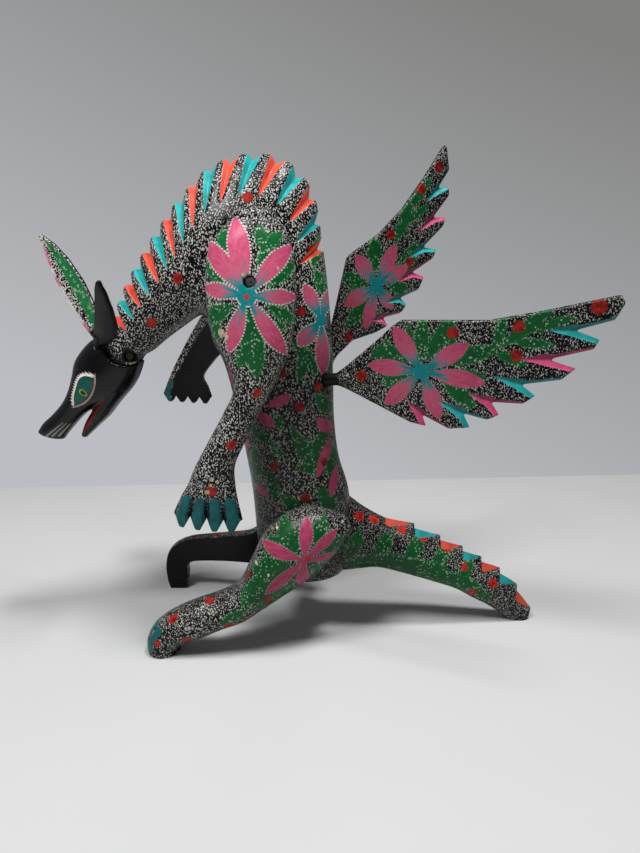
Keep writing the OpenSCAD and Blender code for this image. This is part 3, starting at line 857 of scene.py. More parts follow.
# Places are x, z on the carving, or along the peg's axis and up on a board. A flower has its
# centre, its heart's radius, and its petals' tips and half widths. Petals and leaves run from one
# point to another with a half width, and dots, hearts and chips have a radius.
TRUNK_NEAR = {
    "flower": ((1, 266), 4, [(-12, 294, 5.5), (-17, 247, 6.5), (3, 222, 5.5), (9, 291, 5)]),
    "petals": [(-43, 199, -22, 208, 4.2), (-51, 195, -36, 183, 4.6), (-3, 189, 10, 175, 4.8),
        (-3, 139, 9, 170, 4.2), (-56, 131, -41, 123, 3.6), (-72, 240, -68, 206, 4.0),
        (-66, 176, -60, 158, 3.4), (14, 148, 9, 122, 3.6)],
    "leaves": [(-21, 252, -2, 224, 5), (-8, 246, -17, 220, 4.5), (-24, 186, -6, 148, 5),
        (7, 187, -6, 150, 5.5), (-20, 150, 4, 147, 4.5), (-57, 185, -43, 170, 4.5),
        (-36, 196, -30, 180, 3.6), (-4, 209, 10, 190, 5), (-22, 172, -4, 164, 4), (-54, 168, -50, 140, 5),
        (-60, 152, -52, 128, 4.5), (8, 170, 12, 132, 5.5), (-2, 132, 14, 112, 6), (-34, 128, -14, 112, 5),
        (-4, 306, 4, 286, 4.5), (8, 246, 6, 212, 4.5), (-66, 214, -58, 192, 4.5),
        (-40, 172, -30, 158, 3.6), (0, 332, -6, 306, 4.0), (14, 108, 22, 84, 7), (-42, 148, -36, 122, 4)],
    "dots": [(-48, 215, 4.0), (-16, 199, 4.2), (-1, 214, 4.0), (-37, 150, 3.8), (-12, 124, 4.2),
        (-14, 273, 3.8), (-108, 298, 4.2), (-132, 264, 4.2), (-54, 357, 4.4), (-30, 226, 3.8),
        (4, 152, 3.6), (-6, 320, 3.8)],
    # pale marks on the lower lip of the pin's hole: painted highlight
    "chips_and_glints": [(-154.0, 230.6, 1.1), (-156.4, 231.2, 0.8), (-151.6, 231.2, 0.8)],
}
TRUNK_FAR = {
    "flower": ((-24, 206), 4, [(-24, 236, 6), (0, 220, 6), (6, 196, 5.5), (-16, 176, 6.5),
        (-42, 182, 6), (-54, 208, 6)]),
    "petals": [(-60, 156, -44, 142, 4.4), (0, 158, 12, 140, 4.4), (2, 300, 6, 272, 4.4),
        (-76, 244, -70, 218, 4.2)],
    "leaves": [(-12, 236, 4, 252, 5), (0, 205, 10, 176, 5), (-38, 222, -60, 238, 5.5),
        (-30, 176, -40, 150, 5.5), (-52, 196, -64, 178, 4.5), (-6, 180, 6, 160, 5),
        (-24, 160, -8, 142, 5), (-16, 250, -2, 276, 5), (-50, 140, -34, 122, 5.5), (-4, 130, 12, 112, 6),
        (-2, 330, 4, 306, 4.4), (14, 108, 22, 84, 7)],
    "dots": [(-66, 198, 4.0), (8, 232, 4.0), (-14, 150, 4.0), (-54, 166, 4.0), (-32, 254, 4.0),
        (-108, 300, 4.2), (-134, 268, 4.2), (-54, 357, 4.4), (-84, 334, 4.2), (0, 290, 3.8),
        (-28, 128, 4.2)],
}
TAIL_NEAR = {
    "leaves": [(16, 58, 84, 60, 11), (56, 62, 122, 42, 11), (100, 50, 144, 30, 8), (46, 66, 62, 86, 6),
        (72, 64, 90, 80, 6), (96, 58, 114, 70, 5.5), (22, 62, 34, 90, 6), (120, 46, 134, 56, 4.5),
        (134, 34, 150, 22, 4.5)],
    "dots": [(34, 101, 4.6), (47, 97, 4.8), (71, 87, 4.2), (90, 79, 3.8), (111, 70, 4.6), (152, 38, 4.4),
        (133, 30, 4.2), (126, 54, 3.6)],
}
TAIL_FAR = {
    "leaves": [(16, 60, 80, 62, 10), (56, 62, 120, 44, 10), (104, 50, 142, 32, 7), (70, 66, 92, 80, 6),
        (44, 70, 56, 88, 6), (104, 58, 120, 66, 5)],
    "dots": [(50, 92, 4.4), (88, 62, 4.4), (112, 66, 4.2), (140, 30, 4.2), (40, 60, 4.2)],
}
SHOULDER_NEAR = {
    "flower": ((-52, 285), 7, [(-86, 291, 5.6), (-84, 325, 7.2), (-61, 341, 8.2), (-20, 322, 6.6),
        (-16, 284, 5.4), (-25, 242, 6.2), (-67, 244, 6.2)]),
    "leaves": [(-61, 312, -71, 332, 6.5), (-40, 300, -40, 319, 4.2), (-40, 316, -43, 334, 4.5),
        (-40, 316, -28, 330, 4.5), (-61, 293, -84, 311, 6.8), (-38, 291, -18, 309, 5.2),
        (-38, 279, -18, 266, 4.6), (-62, 279, -86, 266, 6.5), (-51, 276, -46, 226, 8.5),
        (-40, 264, -24, 262, 3.6), (-74, 268, -78, 252, 4.6), (-52, 250, -60, 234, 4)],
    "hearts": [(-52, 284, 2.4)],
    "dots": [(-66, 175, 4.2), (-83, 139, 4.4), (-46, 214, 3.8)],
    # the last chip, on the upper rim of the nail's hole, is a painted highlight; the others are worn chips
    "chips_and_glints": [(-82, 149, 1.6), (-83, 144, 1.3), (-86, 138, 2.0), (-78, 147, 0.9), (-72, 259, 2.6),
        (-68, 256, 1.7), (-30, 304, 1.2), (-53.5, 299.2, 1.6)],
}
SHOULDER_FAR = {
    "flower": ((-52, 285), 7, [(-84, 285, 6.5), (-80, 316, 7.5), (-54, 334, 8), (-24, 320, 7.2),
        (-19, 290, 6.2), (-34, 256, 7.0), (-68, 258, 7.0)]),
    "leaves": [(-62, 308, -68, 330, 6), (-42, 304, -36, 328, 6), (-62, 292, -84, 302, 6),
        (-38, 300, -20, 306, 5), (-62, 278, -86, 270, 6), (-40, 280, -20, 274, 5),
        (-52, 274, -50, 254, 5), (-84, 262, -104, 246, 5), (-70, 252, -90, 240, 4.5)],
    "hearts": [(-52, 284, 2.4)],
    "dots": [(-96, 254, 4.2), (-116, 234, 4.2), (-126, 214, 4.2)],
    "chips_and_glints": [(-120, 222, 1.4), (-118, 220, 1.0)],
}
LEG_NEAR = {
    "flower": ((-12, 84), 4, [(-10, 116, 5.4), (-46, 95, 5.2), (-43, 55, 4.8), (14, 105, 4.4),
        (13, 83, 3.4), (-15, 57, 4.6)]),
    "leaves": [(-18, 88, -30, 113, 8), (-6, 92, 4, 115, 7.5), (-20, 80, -54, 74, 9),
        (-26, 70, -60, 56, 9), (-6, 90, 24, 95, 6), (-24, 68, -32, 44, 8), (-8, 78, 12, 64, 7.5),
        (-30, 102, -44, 88, 5), (-44, 66, -62, 46, 7), (-56, 44, -80, 30, 4), (-30, 58, -54, 40, 7)],
    "hearts": [(-9, 85, 2.6)],
    "dots": [(-89, 46, 4.2), (-118, 33, 4.4), (-106, 16, 3.8), (-72, 28, 3.8), (-41, 48, 4.2),
        (-58, 69, 3.6), (-130, 14, 3.2)],
    "chips_and_glints": [(-50, 79, 1.2), (-40, 72, 1.0), (-34, 106, 1.0)],
}
LEG_FAR = {
    "flower": ((-14, 80), 5, [(-16, 108, 7), (-46, 84, 6.8), (-36, 58, 6.4), (10, 96, 5.2), (4, 66, 5.2)]),
    "leaves": [(-22, 92, -36, 108, 8), (-4, 90, 2, 110, 7), (-26, 76, -54, 66, 8), (-12, 68, -14, 52, 6),
        (-52, 58, -74, 52, 6), (-70, 46, -96, 44, 5)],
    "hearts": [(-12, 80, 2.6)],
    "dots": [(-124, 66, 53, 6.0), (-98, 60, 57, 6.0), (-77, 56, 61, 6.0), (-112, 36, 4.2),
        (-140, 30, 4.2), (-84, 40, 4.2)],
}
LEFT_WING_PLAN = {
    "flower": ((75, 0), 6, [(57, 36, 6.6), (112, 17, 6.4), (121, -13, 6.4), (85, -37, 6.8),
        (43, -23, 6.4), (33, 9, 6.2)]),
    "leaves": [(75, 8, 80, 40, 5.5), (82, 9, 99, 36, 5.2), (68, 8, 42, 22, 6), (66, -3, 42, -6, 5.5),
        (90, -8, 112, -30, 6), (92, 4, 132, 12, 6), (130, 10, 138, 36, 3.8), (132, 11, 172, 36, 4.6),
        (148, 20, 184, 27, 3.4), (140, 16, 170, 9, 3.4), (128, 9, 150, -2, 3.4), (96, -2, 122, -10, 4.4),
        (76, 6, 81, 39, 3.8), (80, 8, 93, 32, 3.6), (62, 1, 44, -2, 4.2), (56, 6, 38, 20, 4.6),
        (98, 12, 101, 37, 3.6), (62, -8, 54, -2, 3), (94, -12, 112, -26, 4.6), (90, -6, 104, -4, 3.8),
        (48, 10, 50, 28, 3.6), (70, 12, 68, 36, 3.2)],
    "dots": [(101, 26, 4.2), (147, 25, 4.2), (144, 5, 4.2), (199, 32, 5.4), (27, 1, 4.6)],
}
RIGHT_WING_PLAN = {
    "flower": ((94, 0), 6, [(103, 32, 6.8), (134, 5, 6.6), (126, -16, 6.2), (87, -25, 6.0),
        (57, -13, 6.2), (62, 16, 6.8)]),
    "leaves": [(100, 6, 126, 26, 7), (90, 8, 80, 32, 7), (84, -2, 50, 4, 6), (112, -6, 136, -20, 6),
        (100, -10, 110, -28, 5.5), (132, 6, 172, 14, 5.5), (160, 12, 200, 10, 3.8),
        (118, -8, 150, -12, 4.0), (74, 0, 48, 4, 4.4), (84, 10, 80, 28, 4.6), (100, -10, 108, -26, 4.2),
        (78, -8, 70, -22, 3.8), (150, 10, 180, -2, 3.6), (112, -12, 128, -26, 3.4)],
    "dots": [(137, 14, 4.2), (130, -15, 4.2), (43, -3, 4.2), (186, 12, 4.2), (212, 9, 4.4)],
}


def write_layers(obj, layers):
    """Stores paint layers on the points of a mesh."""
    for name, values in layers.items():
        kind = obj.data.attributes.new(name, "FLOAT", "POINT")
        values = np.clip(values, -LAYER_LIMIT, LAYER_LIMIT)
        kind.data.foreach_set("value", values.astype(np.float32))
    obj.data.shade_smooth()


def write_paint(obj, layers):
    blank = {name: np.full(len(obj.data.vertices), start) for name, start in BLANK.items()}
    write_layers(obj, {**blank, **layers})


# ---------------------------------------------------------------- materials
def linear(colour):
    """Linear colour from eight-bit numbers."""
    return tuple((c / 255 / 12.92) if c <= 10 else ((c / 255 + 0.055) / 1.055) ** 2.4
                 for c in colour) + (1.0,)


BLACK = (9, 9, 11)
SPECK = (208, 207, 200)
GREEN = (14, 112, 50)
DEEP_GREEN = (8, 74, 38)
PINK = (216, 84, 132)
ROSE = (182, 52, 92)
TEAL = (44, 172, 172)
DEEP_TEAL = (10, 142, 148)
CORAL = (232, 90, 70)
RED = (182, 42, 30)
CREAM = (222, 206, 178)


class Nodes:
    """Short calls that build the nodes of a material or world."""

    def __init__(self, owner):
        owner.use_nodes = True
        self.owner = owner
        self.tree = owner.node_tree
        self.coordinates = self.add("TexCoord").outputs
        self.place = self.coordinates["Object"]

    def add(self, kind, **inputs):
        """A new node with some of its sockets linked or set."""
        node = self.tree.nodes.new("ShaderNode" + kind)
        for name, value in inputs.items():
            self.put(node.inputs[name], value)
        return node

    def put(self, socket, value):
        """Links or sets a socket; three eight-bit numbers are a colour."""
        if isinstance(value, bpy.types.NodeSocket):
            self.tree.links.new(value, socket)
        elif isinstance(value, tuple) and len(value) == 3:
            socket.default_value = linear(value)
        elif value is not None:
            socket.default_value = value

    def fill(self, node, *values):
        """Puts values into a node's first sockets."""
        for socket, value in zip(node.inputs, values):
            self.put(socket, value)
        return node

    def attribute(self, name):
        node = self.add("Attribute")
        node.attribute_name = name
        return node.outputs["Fac"]

    def math(self, kind, *values):
        node = self.add("Math")
        node.operation = kind
        return self.fill(node, *values).outputs[0]

    def times(self, a, b):
        return self.math("MULTIPLY", a, b)

    def plus(self, a, b):
        return self.math("ADD", a, b)

    def minus(self, a, b):
        return self.math("SUBTRACT", a, b)

    def times_plus(self, a, b, c):
        return self.math("MULTIPLY_ADD", a, b, c)

    def length(self, x, y):
        return self.math("SQRT", self.plus(self.times(x, x), self.times(y, y)))

    def step(self, value, low, high, to_low=0.0, to_high=1.0, kind="SMOOTHSTEP"):
        """Smooth step of a value from low to high."""
        node = self.add("MapRange")
        node.interpolation_type = kind
        return self.fill(node, value, low, high, to_low, to_high).outputs["Result"]

    def mix(self, factor, a, b):
        node = self.add("Mix")
        node.data_type = "RGBA"
        self.put(node.inputs["Factor"], factor)
        self.put(node.inputs["A"], a)
        self.put(node.inputs["B"], b)
        return node.outputs["Result"]

    def noise(self, scale, detail=2.0, rough=0.5, vector=None, distortion=0.0):
        node = self.add("TexNoise", Vector=vector or self.place, Scale=scale, Detail=detail,
                        Roughness=rough, Distortion=distortion)
        return node.outputs["Fac"]

    def waver(self, scale, detail=1.0):
        """Noise about nought."""
        return self.minus(self.noise(scale, detail), 0.5)

    def tones(self, scale, detail, a, b):
        """Two colours mingled by noise."""
        return self.mix(self.noise(scale, detail), a, b)

    def cells(self, scale):
        return self.add("TexVoronoi", Vector=self.place, Scale=scale).outputs["Distance"]

    def stretched(self, x, y, z):
        """The piece's coordinates scaled along each axis."""
        node = self.add("Mapping", Vector=self.place)
        node.inputs["Scale"].default_value = (x, y, z)
        return node.outputs[0]

    def bump(self, height, distance, strength=1.0, before=None):
        node = self.add("Bump", Strength=strength, Distance=distance, Height=height, Normal=before)
        return node.outputs["Normal"]

    def finish(self, colour, roughness, normal, shine=0.5, coat=0.0, metal=0.0):
        sockets = self.tree.nodes["Principled BSDF"].inputs
        for name, value in (("Base Color", colour), ("Roughness", roughness), ("Normal", normal),
                            ("Specular IOR Level", shine), ("Coat Weight", coat),
                            ("Coat Roughness", 0.18), ("Metallic", metal)):
            self.put(sockets[name], value)
        return self.owner


def material(name):
    return Nodes(bpy.data.materials.new(name))


def painted(name, speck_size=1.0, level=0.636, beaded=1.0):
    """Speckles on black, then leaves, petals, dots and painted cuts, one layer over another."""
    n = material(name)
    a = {layer_name: n.attribute(layer_name) for layer_name in BLANK}
    wob, fine = n.waver(420), n.waver(1300)

    def edge(value, soft=0.25, wave=1.2):
        """1 inside a motif's distance, with a wavy edge."""
        return n.step(n.times_plus(fine, 0.7, n.times_plus(wob, wave, value)), soft, -soft)

    # short off-white strokes, close together
    maze = n.noise(860 / speck_size, 0.6, 0.5, n.stretched(1.2, 1.0, 0.78))
    level = n.times_plus(n.noise(60), -0.12, level)
    speck = n.step(n.minus(maze, level), -0.012, 0.022)
    colour = n.mix(speck, BLACK, n.tones(90, 2.0, SPECK, (160, 159, 152)))

    # leaves, with a few dots inside and strokes at their edges
    dots = n.times(n.step(n.cells(430), 0.34, 0.24), n.step(n.noise(130, 1.0), 0.42, 0.52))
    strokes = n.times(speck, n.step(a["leaf"], -2.6, -0.3))
    dotted = n.times(n.math("MAXIMUM", dots, strokes), 0.85)
    green = n.mix(dotted, n.tones(120, 3.0, DEEP_GREEN, GREEN), (186, 205, 180))
    colour = n.mix(edge(a["leaf"], 0.3, 2.2), colour, green)

    # petals with streaks that run out from the flower's centre
    far = n.length(a["fx"], a["fz"])
    safe = n.math("MAXIMUM", far, 0.5)
    ray = n.fill(n.add("CombineXYZ"), n.math("DIVIDE", a["fx"], safe),
                 n.math("DIVIDE", a["fz"], safe), n.times(far, 0.012)).outputs[0]
    pink = n.mix(n.step(n.noise(16.0, 3.0, 0.6, ray), 0.3, 0.7), ROSE, PINK)
    pale = n.times(n.step(far, 44, 8, 0.2, 0.6), n.times_plus(a["mix"], -0.8, 1.0))
    pink = n.mix(pale, pink, (218, 114, 138))
    reach = n.times_plus(n.minus(n.noise(7.0, 2.0, 0.6, ray), 0.5), -46.0, far)
    pink = n.mix(n.times(n.step(reach, 20, 8), n.minus(1.0, a["mix"])), pink, DEEP_TEAL)
    petal = n.step(n.times_plus(wob, 0.5, a["petal"]), 0.15, -0.15)
    colour = n.mix(petal, colour, pink)
    # a row of beads round each petal
    beads = n.step(n.math("FRACT", n.math("DIVIDE", far, 2.3)), 0.62, 0.48)
    rim = n.step(n.math("ABSOLUTE", n.minus(a["petal"], 0.2)), 0.75, 0.45)
    beads = n.times(n.times(rim, beads), n.times(n.step(far, 60, 50), beaded))
    colour = n.mix(beads, colour, SPECK)

    colour = n.mix(edge(a["heart"], 0.25, 0.8), colour, (206, 62, 44))
    red = n.mix(n.step(n.noise(260, 3.0), 0.35, 0.65), RED, (122, 18, 15))
    colour = n.mix(edge(a["dot"], 0.25, 1.4), colour, red)
    # near black where this layer says: plain black paint on inner sides and stems, painted shade elsewhere
    colour = n.mix(a["plain_black_and_shade"], colour, n.tones(40, 2.0, (1, 1, 2), (6, 6, 7)))

    # the carved cuts are teal, coral or pink as their hue is 0, 1 or 2
    cut = n.mix(n.step(a["hue"], 0.4, 0.6), TEAL, CORAL)
    cut = n.mix(n.step(a["hue"], 1.4, 1.6), cut, PINK)
    cut = n.mix(n.step(n.noise(110), 0.35, 0.75, 0, 0.35), cut, BLACK)
    # painted shade darkens the upper walls of the wing notches and the tail's facets
    cut = n.mix(n.times(a["shade"], 0.62), cut, BLACK)
    cut_mask = n.step(n.times_plus(fine, 0.5, a["groove"]), 0.2, -0.2)
    colour = n.mix(cut_mask, colour, cut)
    toe = n.tones(160, 2.0, (8, 50, 56), (28, 112, 114))
    colour = n.mix(edge(a["toe"], 0.4, 1.6), colour, toe)
    # pale chips of bare wood, and painted highlights at the lips of the neck pin's hole and the shoulder
    # nail's hole
    chip_and_glint = edge(a["chip_and_glint"], 0.2, 1.6)
    colour = n.mix(chip_and_glint, colour, n.tones(300, 3.0, CREAM, (170, 148, 118)))

    rough = n.times_plus(chip_and_glint, 0.4, n.step(n.noise(35, 3.0), 0.3, 0.7, 0.26, 0.44))
    raised = n.times(n.times(speck, n.minus(1.0, a["plain_black_and_shade"])), n.minus(1.0, cut_mask))
    normal = n.bump(n.noise(26, 3.0, 0.55), 0.0016, 0.35)
    normal = n.bump(raised, 0.00012, 0.7, normal)
    normal = n.bump(n.noise(900, 3.0, 0.6), 0.00008, 0.35, normal)
    return n.finish(colour, rough, normal, 0.18)


def lacquered(name):
    """Glossy black head with painted eyes, red lips and pale strokes on the snout."""
    n = material(name)
    eye, u, v = n.attribute("eye"), n.attribute("eye_u"), n.attribute("eye_v")
    wob = n.waver(900, 1.5)
    smear = n.noise(30, 4.0, 0.6)
    colour = n.mix(n.step(smear, 0.35, 0.75, 0, 0.8), (4, 4, 6), (13, 17, 17))
    lip = n.step(n.times_plus(wob, 1.2, n.attribute("mouth")), 0.5, -0.1)
    colour = n.mix(lip, colour, n.tones(220, 2.0, (58, 10, 10), (118, 26, 20)))
    # lashes and rim, then the iris with a thin dark line inside the rim
    upper = n.step(v, 0.5, -1.5)
    lash = n.times(n.math("SINE", n.times(u, 2.9)), upper)
    outer = n.times_plus(wob, 0.8, n.times_plus(lash, -0.75, eye))
    rim_colour = n.mix(upper, (186, 156, 158), (224, 210, 200))
    colour = n.mix(n.step(outer, 0.9, 0.5), colour, rim_colour)
    inner = n.times_plus(upper, 1.3, eye)
    colour = n.mix(n.step(inner, -0.5, -0.8), colour, (30, 14, 14))
    iris = n.tones(260, 2.0, (3, 62, 60), (10, 98, 86))
    colour = n.mix(n.step(inner, -1.1, -1.5), colour, iris)
    # the pupil's rings
    ring = n.times_plus(wob, 0.6, n.length(n.times_plus(u, 1.6, -0.6), v))
    for out, into, tone in ((4.1, 3.7, (132, 156, 40)), (2.7, 2.4, (44, 92, 34)), (1.9, 1.6, (6, 6, 6))):
        colour = n.mix(n.step(ring, out, into), colour, tone)
    strokes = n.times_plus(wob, 0.5, n.attribute("stroke"))
    colour = n.mix(n.step(strokes, 0.3, -0.2, 0, 0.8), colour, (158, 158, 154))
    normal = n.bump(n.noise(24), 0.002, 0.35)
    normal = n.bump(n.noise(500, 3.0, 0.6), 0.00008, 0.4, normal)
    return n.finish(colour, n.step(smear, 0.3, 0.7, 0.16, 0.34), normal, 0.24, 0.15)


def ear_paint(name):
    """Inside a green band beside speckles with a pink edge; outside black with a maroon cast."""
    n = material(name)
    inner, rim, across = n.attribute("mix"), n.attribute("rim"), n.attribute("fz")
    maze = n.step(n.noise(760, 0.6), 0.50, 0.54)
    wob = n.times(n.waver(300), 3.0)
    sparse = n.times(maze, n.step(n.noise(240, 1.0), 0.56, 0.64, 0, 0.8))
    green = n.mix(sparse, n.tones(110, 3.0, (14, 104, 52), (34, 146, 78)), (196, 216, 190))
    wavy_rim = n.plus(rim, wob)
    band = n.times(n.step(n.plus(across, wob), 0.5, 3.0), n.step(wavy_rim, 0.8, 2.2))
    inside = n.mix(band, n.mix(maze, BLACK, SPECK), green)
    edge = n.times(n.step(wavy_rim, 3.0, 1.8), n.step(across, 0, -2))
    pale = n.mix(n.step(n.noise(150), 0.4, 0.6), (206, 112, 142), (222, 214, 214))
    outside = n.mix(n.step(n.noise(28, 3.0), 0.45, 0.7, 0, 0.8), (6, 7, 7), (26, 10, 14))
    colour = n.mix(inner, outside, n.mix(edge, inside, pale))
    normal = n.bump(n.noise(40, 3.0), 0.0012, 0.3)
    normal = n.bump(n.times(maze, inner), 0.0001, 0.6, normal)
    return n.finish(colour, n.step(n.noise(40), 0.3, 0.7, 0.28, 0.45), normal, 0.18)


def bare_wood(name, light, deep):
    n = material(name)
    grain = n.noise(900, 4.0, 0.6, n.stretched(1.0, 1.0, 0.16), 0.6)
    colour = n.mix(n.step(grain, 0.35, 0.7), light, deep)
    return n.finish(colour, n.step(grain, 0.3, 0.7, 0.55, 0.8), n.bump(grain, 0.0001, 0.5))


def nail_steel(name):
    n = material(name)
    spots = n.noise(700, 4.0, 0.65)
    colour = n.mix(n.step(spots, 0.45, 0.7), (150, 150, 148), (96, 70, 54))
    rough = n.step(spots, 0.4, 0.7, 0.3, 0.65)
    return n.finish(colour, rough, n.bump(spots, 0.0001, 0.5), metal=0.9)


# ---------------------------------------------------------------- paint on each piece
def paint_trunk(trunk, cuts):
    pts = points_of(trunk)
    x, _, z = pts.T
    layers = two_sided(pts, TRUNK_NEAR, TRUNK_FAR)
    # painted shade under the arch, down the lower torso and in and round the pin's hole; round the neck's
    # joint black paint at the seam with painted shade over it
    arch_shade = 0.75 * held((-normals_of(trunk)[:, 2] - 0.75) * 4) * (x < -60)
    torso_shade = 0.58 * held((290 - z) / 60) * (x > -100)
    along, far = neck_terms(pts)
    joint = 0.85 * held((far - 9) / 5) * (along > 1) * (far < NECK_R + 2)
    pin = held((6.2 - np.hypot(x - PIN_AT[0], z - PIN_AT[1])) * 2)
    layers["plain_black_and_shade"] = np.max([arch_shade, torso_shade, joint, pin], axis=0)
    write_paint(trunk, {**layers, **cuts})


def paint_tail(tail, cuts):
    pts = points_of(tail)
    layers = two_sided(pts, TAIL_NEAR, TAIL_FAR)
    # painted shade, darkest at the root, kept off the red dots
    layers["plain_black_and_shade"] = (0.62 - 0.3 * held((pts[:, 0] - 50) / 80)) * held(layers["dot"])
    # painted shade dims the painted facets of the steps
    layers["shade"] = np.full(len(pts), 0.5)
    write_paint(tail, {**layers, **cuts})


def limb_layers(limb, side, plan):
    """A limb's paint layers, and how far each point belongs to its plain inner side."""
    pts = points_of(limb)
    layers = motifs(pts[:, [0, 2]], plan)
    layers["dot"] = balls(pts, side, plan["dots"])
    return pts.T, layers, held((-normals_of(limb)[:, 1] * side - 0.6) * 4)


def paint_arm(arm, row, across, side, plan):
    (x, _, z), layers, inner = limb_layers(arm, side, plan)
    inner = inner * held((0.66 + across) * 9 + (row > 8))
    last = row.max() - TIP_SHARE
    full = finger(across)
    # painted shade in the grooves between the fingertips and in the hole round the shoulder's nail; the
    # inner side is plain black paint
    between = held((0.43 - full) * 6) * held((row - last + 0.75) * 4)
    nail = held((5.0 - np.hypot(x - SHOULDER[0], z - SHOULDER[1])) * 2)
    layers["plain_black_and_shade"] = np.max([inner, between, nail], axis=0)
    toe = np.maximum((0.44 - full) * 7, (last - 0.95 - row - 0.45 * full) * 14)
    layers["toe"] = toe + FAR * inner
    layers["chip_and_glint"] += FAR * inner
    write_paint(arm, layers)


def paint_leg(leg, row, across, side, plan):
    (x, y, _), layers, inner = limb_layers(leg, side, plan)
    # plain black paint inside; painted shade over the rest, deepest at the thigh
    layers["plain_black_and_shade"] = np.maximum(inner, 0.22 + 0.23 * held((x + 80) / 30))
    # no teal at the flower's centre
    layers["mix"] = np.ones(len(x))
    # claws painted as stripes across the foot
    stripe = np.abs(np.sin((np.abs(y) - 47) * math.pi / 7.0))
    last = row.max()
    toe = np.max([(0.45 - across) * 10, (last - 2.3 - row) * 14, (row - last + 0.35) * 14,
                  (0.45 - stripe) * 6], axis=0)
    layers["toe"] = toe + FAR * inner
    write_paint(leg, layers)


MOUTH_CORNER = (-177.5, 201.5)
UPPER_LIP = (-217, 166)
LOWER_LIP = (-202, 169)


def paint_head(head):
    pts = points_of(head)
    flat = pts[:, [0, 2]]
    wide = np.abs(pts[:, 1])
    eye, u, v = eye_terms(flat)
    mouth = np.min([segment_distance(flat, MOUTH_CORNER, LOWER_LIP)[0] - 1.2,
                    segment_distance(flat, MOUTH_CORNER, UPPER_LIP)[0] - 0.35,
                    leaf_sdf(flat, -176, 203, -200, 176, 4.0, 0.75)], axis=0)
    strokes = np.full(len(pts), FAR)
    for i in range(4):
        d, s = segment_distance(flat, (-213 + 2.3 * i, 181.5 - 0.7 * i), (-229 + 5 * i, 169.5))
        strokes = np.minimum(strokes, d - 0.25 - 0.55 * s)
    # eyes and strokes stay on the cheeks
    write_layers(head, {"eye": eye + np.clip(9 - wide, 0, 9), "eye_u": u, "eye_v": v,
                        "mouth": mouth, "stroke": strokes + np.clip(7 - wide, 0, 9)})


def make_wing(name, at, outline, notches, plan):
    board, cuts, local, edge = make_board(name, at, outline, notches, thick=6.0, stem_r=5.0,
                                          stem_in=6.0, voxel=0.8)
    layers = motifs(local[:, [0, 2]], plan)
    layers["dot"] = layer(local[:, [0, 2]], plan["dots"], dot_sdf)
    # black paint at the stem; painted shade over the rest of the board
    layers["plain_black_and_shade"] = np.clip((11 - local[:, 0]) / 4, 0.38, 1)
    layers["petal"] += held(0.8 - edge) * 2
    write_paint(board, {**layers, **cuts})
    return board


def make_ear(name, at, outline, inner):
    """An ear whose hollow inside faces along or against its normal."""
    normal = axes_of(at)[1]
    face = inner * (1 if normal[1] > 0 else -1)
    board, _, local, edge = make_board(name, at, outline, [], thick=4.5, stem_r=3.5, stem_in=3.0,
                                       voxel=0.55, cup=1.6, inner=face)
    inside = held(normals_of(board) @ normal * face * 4 - 0.5) * held((local[:, 0] - 6) / 4)
    write_paint(board, {"mix": inside, "rim": edge, "fz": local[:, 2]})
    return board


# ---------------------------------------------------------------- putting the pieces together
def attach(obj, node, body, material):
    obj.data.materials.clear()
    obj.data.materials.append(material)
    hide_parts(node)
    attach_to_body(obj, body)


speckled = painted("speckled_paint")
leg_paint = painted("leg_paint", 0.95, 0.642, 0.35)
tail_paint = painted("tail_paint", 0.84, 0.65, 0.0)
feathers = painted("feather_paint", 0.88, 0.648, 0.15)
ears = ear_paint("ear_paint")
lacquer = lacquered("black_lacquer")

trunk, trunk_cuts = make_trunk()
paint_trunk(trunk, trunk_cuts)
attach(trunk, "body", "carving", speckled)

tail, tail_cuts = make_tail()
paint_tail(tail, tail_cuts)
attach(tail, "tail", "carving", tail_paint)

for name, node, rows, side, depth, plan in (
        ("near_arm", "left_arm", LEFT_ARM, -1, 8.5, SHOULDER_NEAR),
        ("far_arm", "right_arm", RIGHT_ARM, 1, 6.5, SHOULDER_FAR)):
    limb, row, across = make_limb(name, rows, -9.0, depth)
    paint_arm(limb, row, across, side, plan)
    attach(limb, node, "carving", speckled)
for name, node, rows, side, plan in (
        ("near_leg", "left_leg", LEFT_LEG, -1, LEG_NEAR),
        ("far_leg", "right_leg", RIGHT_LEG, 1, LEG_FAR)):
    limb, row, across = make_limb(name, rows, 6.0, 0)
    paint_leg(limb, row, across, side, plan)
    attach(limb, node, "carving", leg_paint)

head = make_head()
paint_head(head)
attach(head, "head", "carving", lacquer)

for name, node, at, outline, notches, plan in (
        ("near_wing", "left_wing", LEFT_WING_AT, LEFT_WING, LEFT_NOTCHES, LEFT_WING_PLAN),
        ("far_wing", "right_wing", RIGHT_WING_AT, RIGHT_WING, RIGHT_NOTCHES, RIGHT_WING_PLAN)):
    attach(make_wing(name, at, outline, notches, plan), node, node, feathers)
for name, node, at, outline, inner in (
        ("near_ear", "left_ear", LEFT_EAR_AT, LEFT_EAR, 1),
        ("far_ear", "right_ear", RIGHT_EAR_AT, RIGHT_EAR, -1)):
    attach(make_ear(name, at, outline, inner), node, node, ears)

wood = bare_wood("bare_wood", (196, 160, 112), (150, 112, 70))
steel = nail_steel("nail_steel")
# the neck's pin is near black: painted shade for the hole it sits in
dark = bare_wood("pin_in_painted_shade", (34, 28, 24), (14, 12, 12))
for name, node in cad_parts.items():
    if any(word in name for word in ("peg", "dowel", "pin", "nail")):
        node.data.materials.clear()
        node.data.materials.append(steel if "nail" in name else dark if "pin" in name else wood)


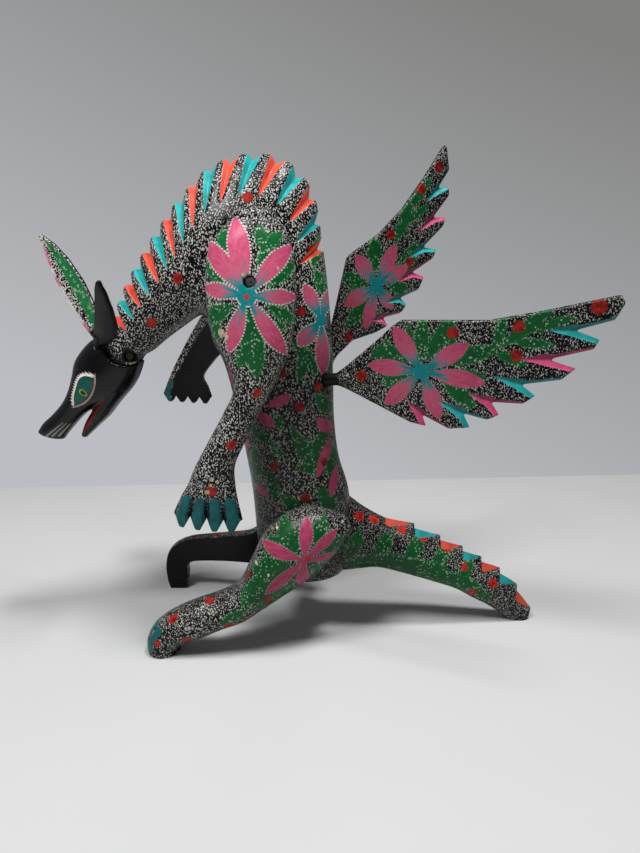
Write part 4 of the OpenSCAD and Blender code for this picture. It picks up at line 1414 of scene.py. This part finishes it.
# ---------------------------------------------------------------- table, light and camera
def white_table():
    n = material("white_table")
    colour = n.tones(3.0, 3.0, (197, 198, 198), (203, 204, 203))
    return n.finish(colour, n.step(n.noise(8.0), 0.3, 0.7, 0.5, 0.58),
                    n.bump(n.noise(600), 0.00005, 0.3))


def add_table(low, high, z, turn):
    mesh = bpy.data.meshes.new("table_top")
    corners = [(low[0], low[1], 0), (high[0], low[1], 0), (high[0], high[1], 0), (low[0], high[1], 0)]
    mesh.from_pydata(corners, [], [(0, 1, 2, 3)])
    mesh.materials.append(white_table())
    table = in_scene("table_top", mesh)
    table.location = (0, 0, z)
    table.rotation_euler = (0, 0, turn)


def add_surroundings():
    """Grey all round, paler towards one side, that lights the figure less than it shows behind it."""
    world = bpy.data.worlds.new("studio")
    bpy.context.scene.world = world
    n = Nodes(world)
    direction = n.fill(n.add("SeparateXYZ"), n.coordinates["Generated"]).outputs
    slope = n.times_plus(direction["X"], 0.4, direction["Z"])
    lift = n.step(slope, -0.3, 0.45, kind="LINEAR")
    background = world.node_tree.nodes["Background"].inputs
    n.put(background["Color"], n.mix(lift, (0.50, 0.51, 0.54, 1), (0.22, 0.22, 0.215, 1)))
    seen = n.add("LightPath").outputs["Is Camera Ray"]
    n.put(background["Strength"], n.times_plus(seen, 0.5, 0.5))


def area(name, place, target, size, power):
    data = bpy.data.lights.new(name, "AREA")
    data.shape = "DISK"
    data.size = size
    data.energy = power
    lamp = in_scene(name, data)
    lamp.location = place
    lamp.rotation_euler = (Vector(target) - Vector(place)).to_track_quat("-Z", "Y").to_euler()


def add_camera():
    """Looks down at the pitch of the photograph's view."""
    data = bpy.data.cameras.new("camera")
    data.lens = 27.05
    camera = in_scene("camera", data)
    camera.location = (0.0185, -0.5335, 0.289)
    camera.rotation_euler = (math.radians(78), 0, 0)
    bpy.context.scene.camera = camera


add_table((-2.2, -2.6), (2.2, 0.417), -0.0002, math.radians(4.2))
bpy.context.scene.view_settings.view_transform = "Standard"
add_surroundings()
area("key", (-0.6, -0.6, 1.6), (0, 0, 0.2), 0.5, 21)
area("top", (0.4, -0.2, 1.7), (0, 0, 0.15), 0.35, 19)
add_camera()
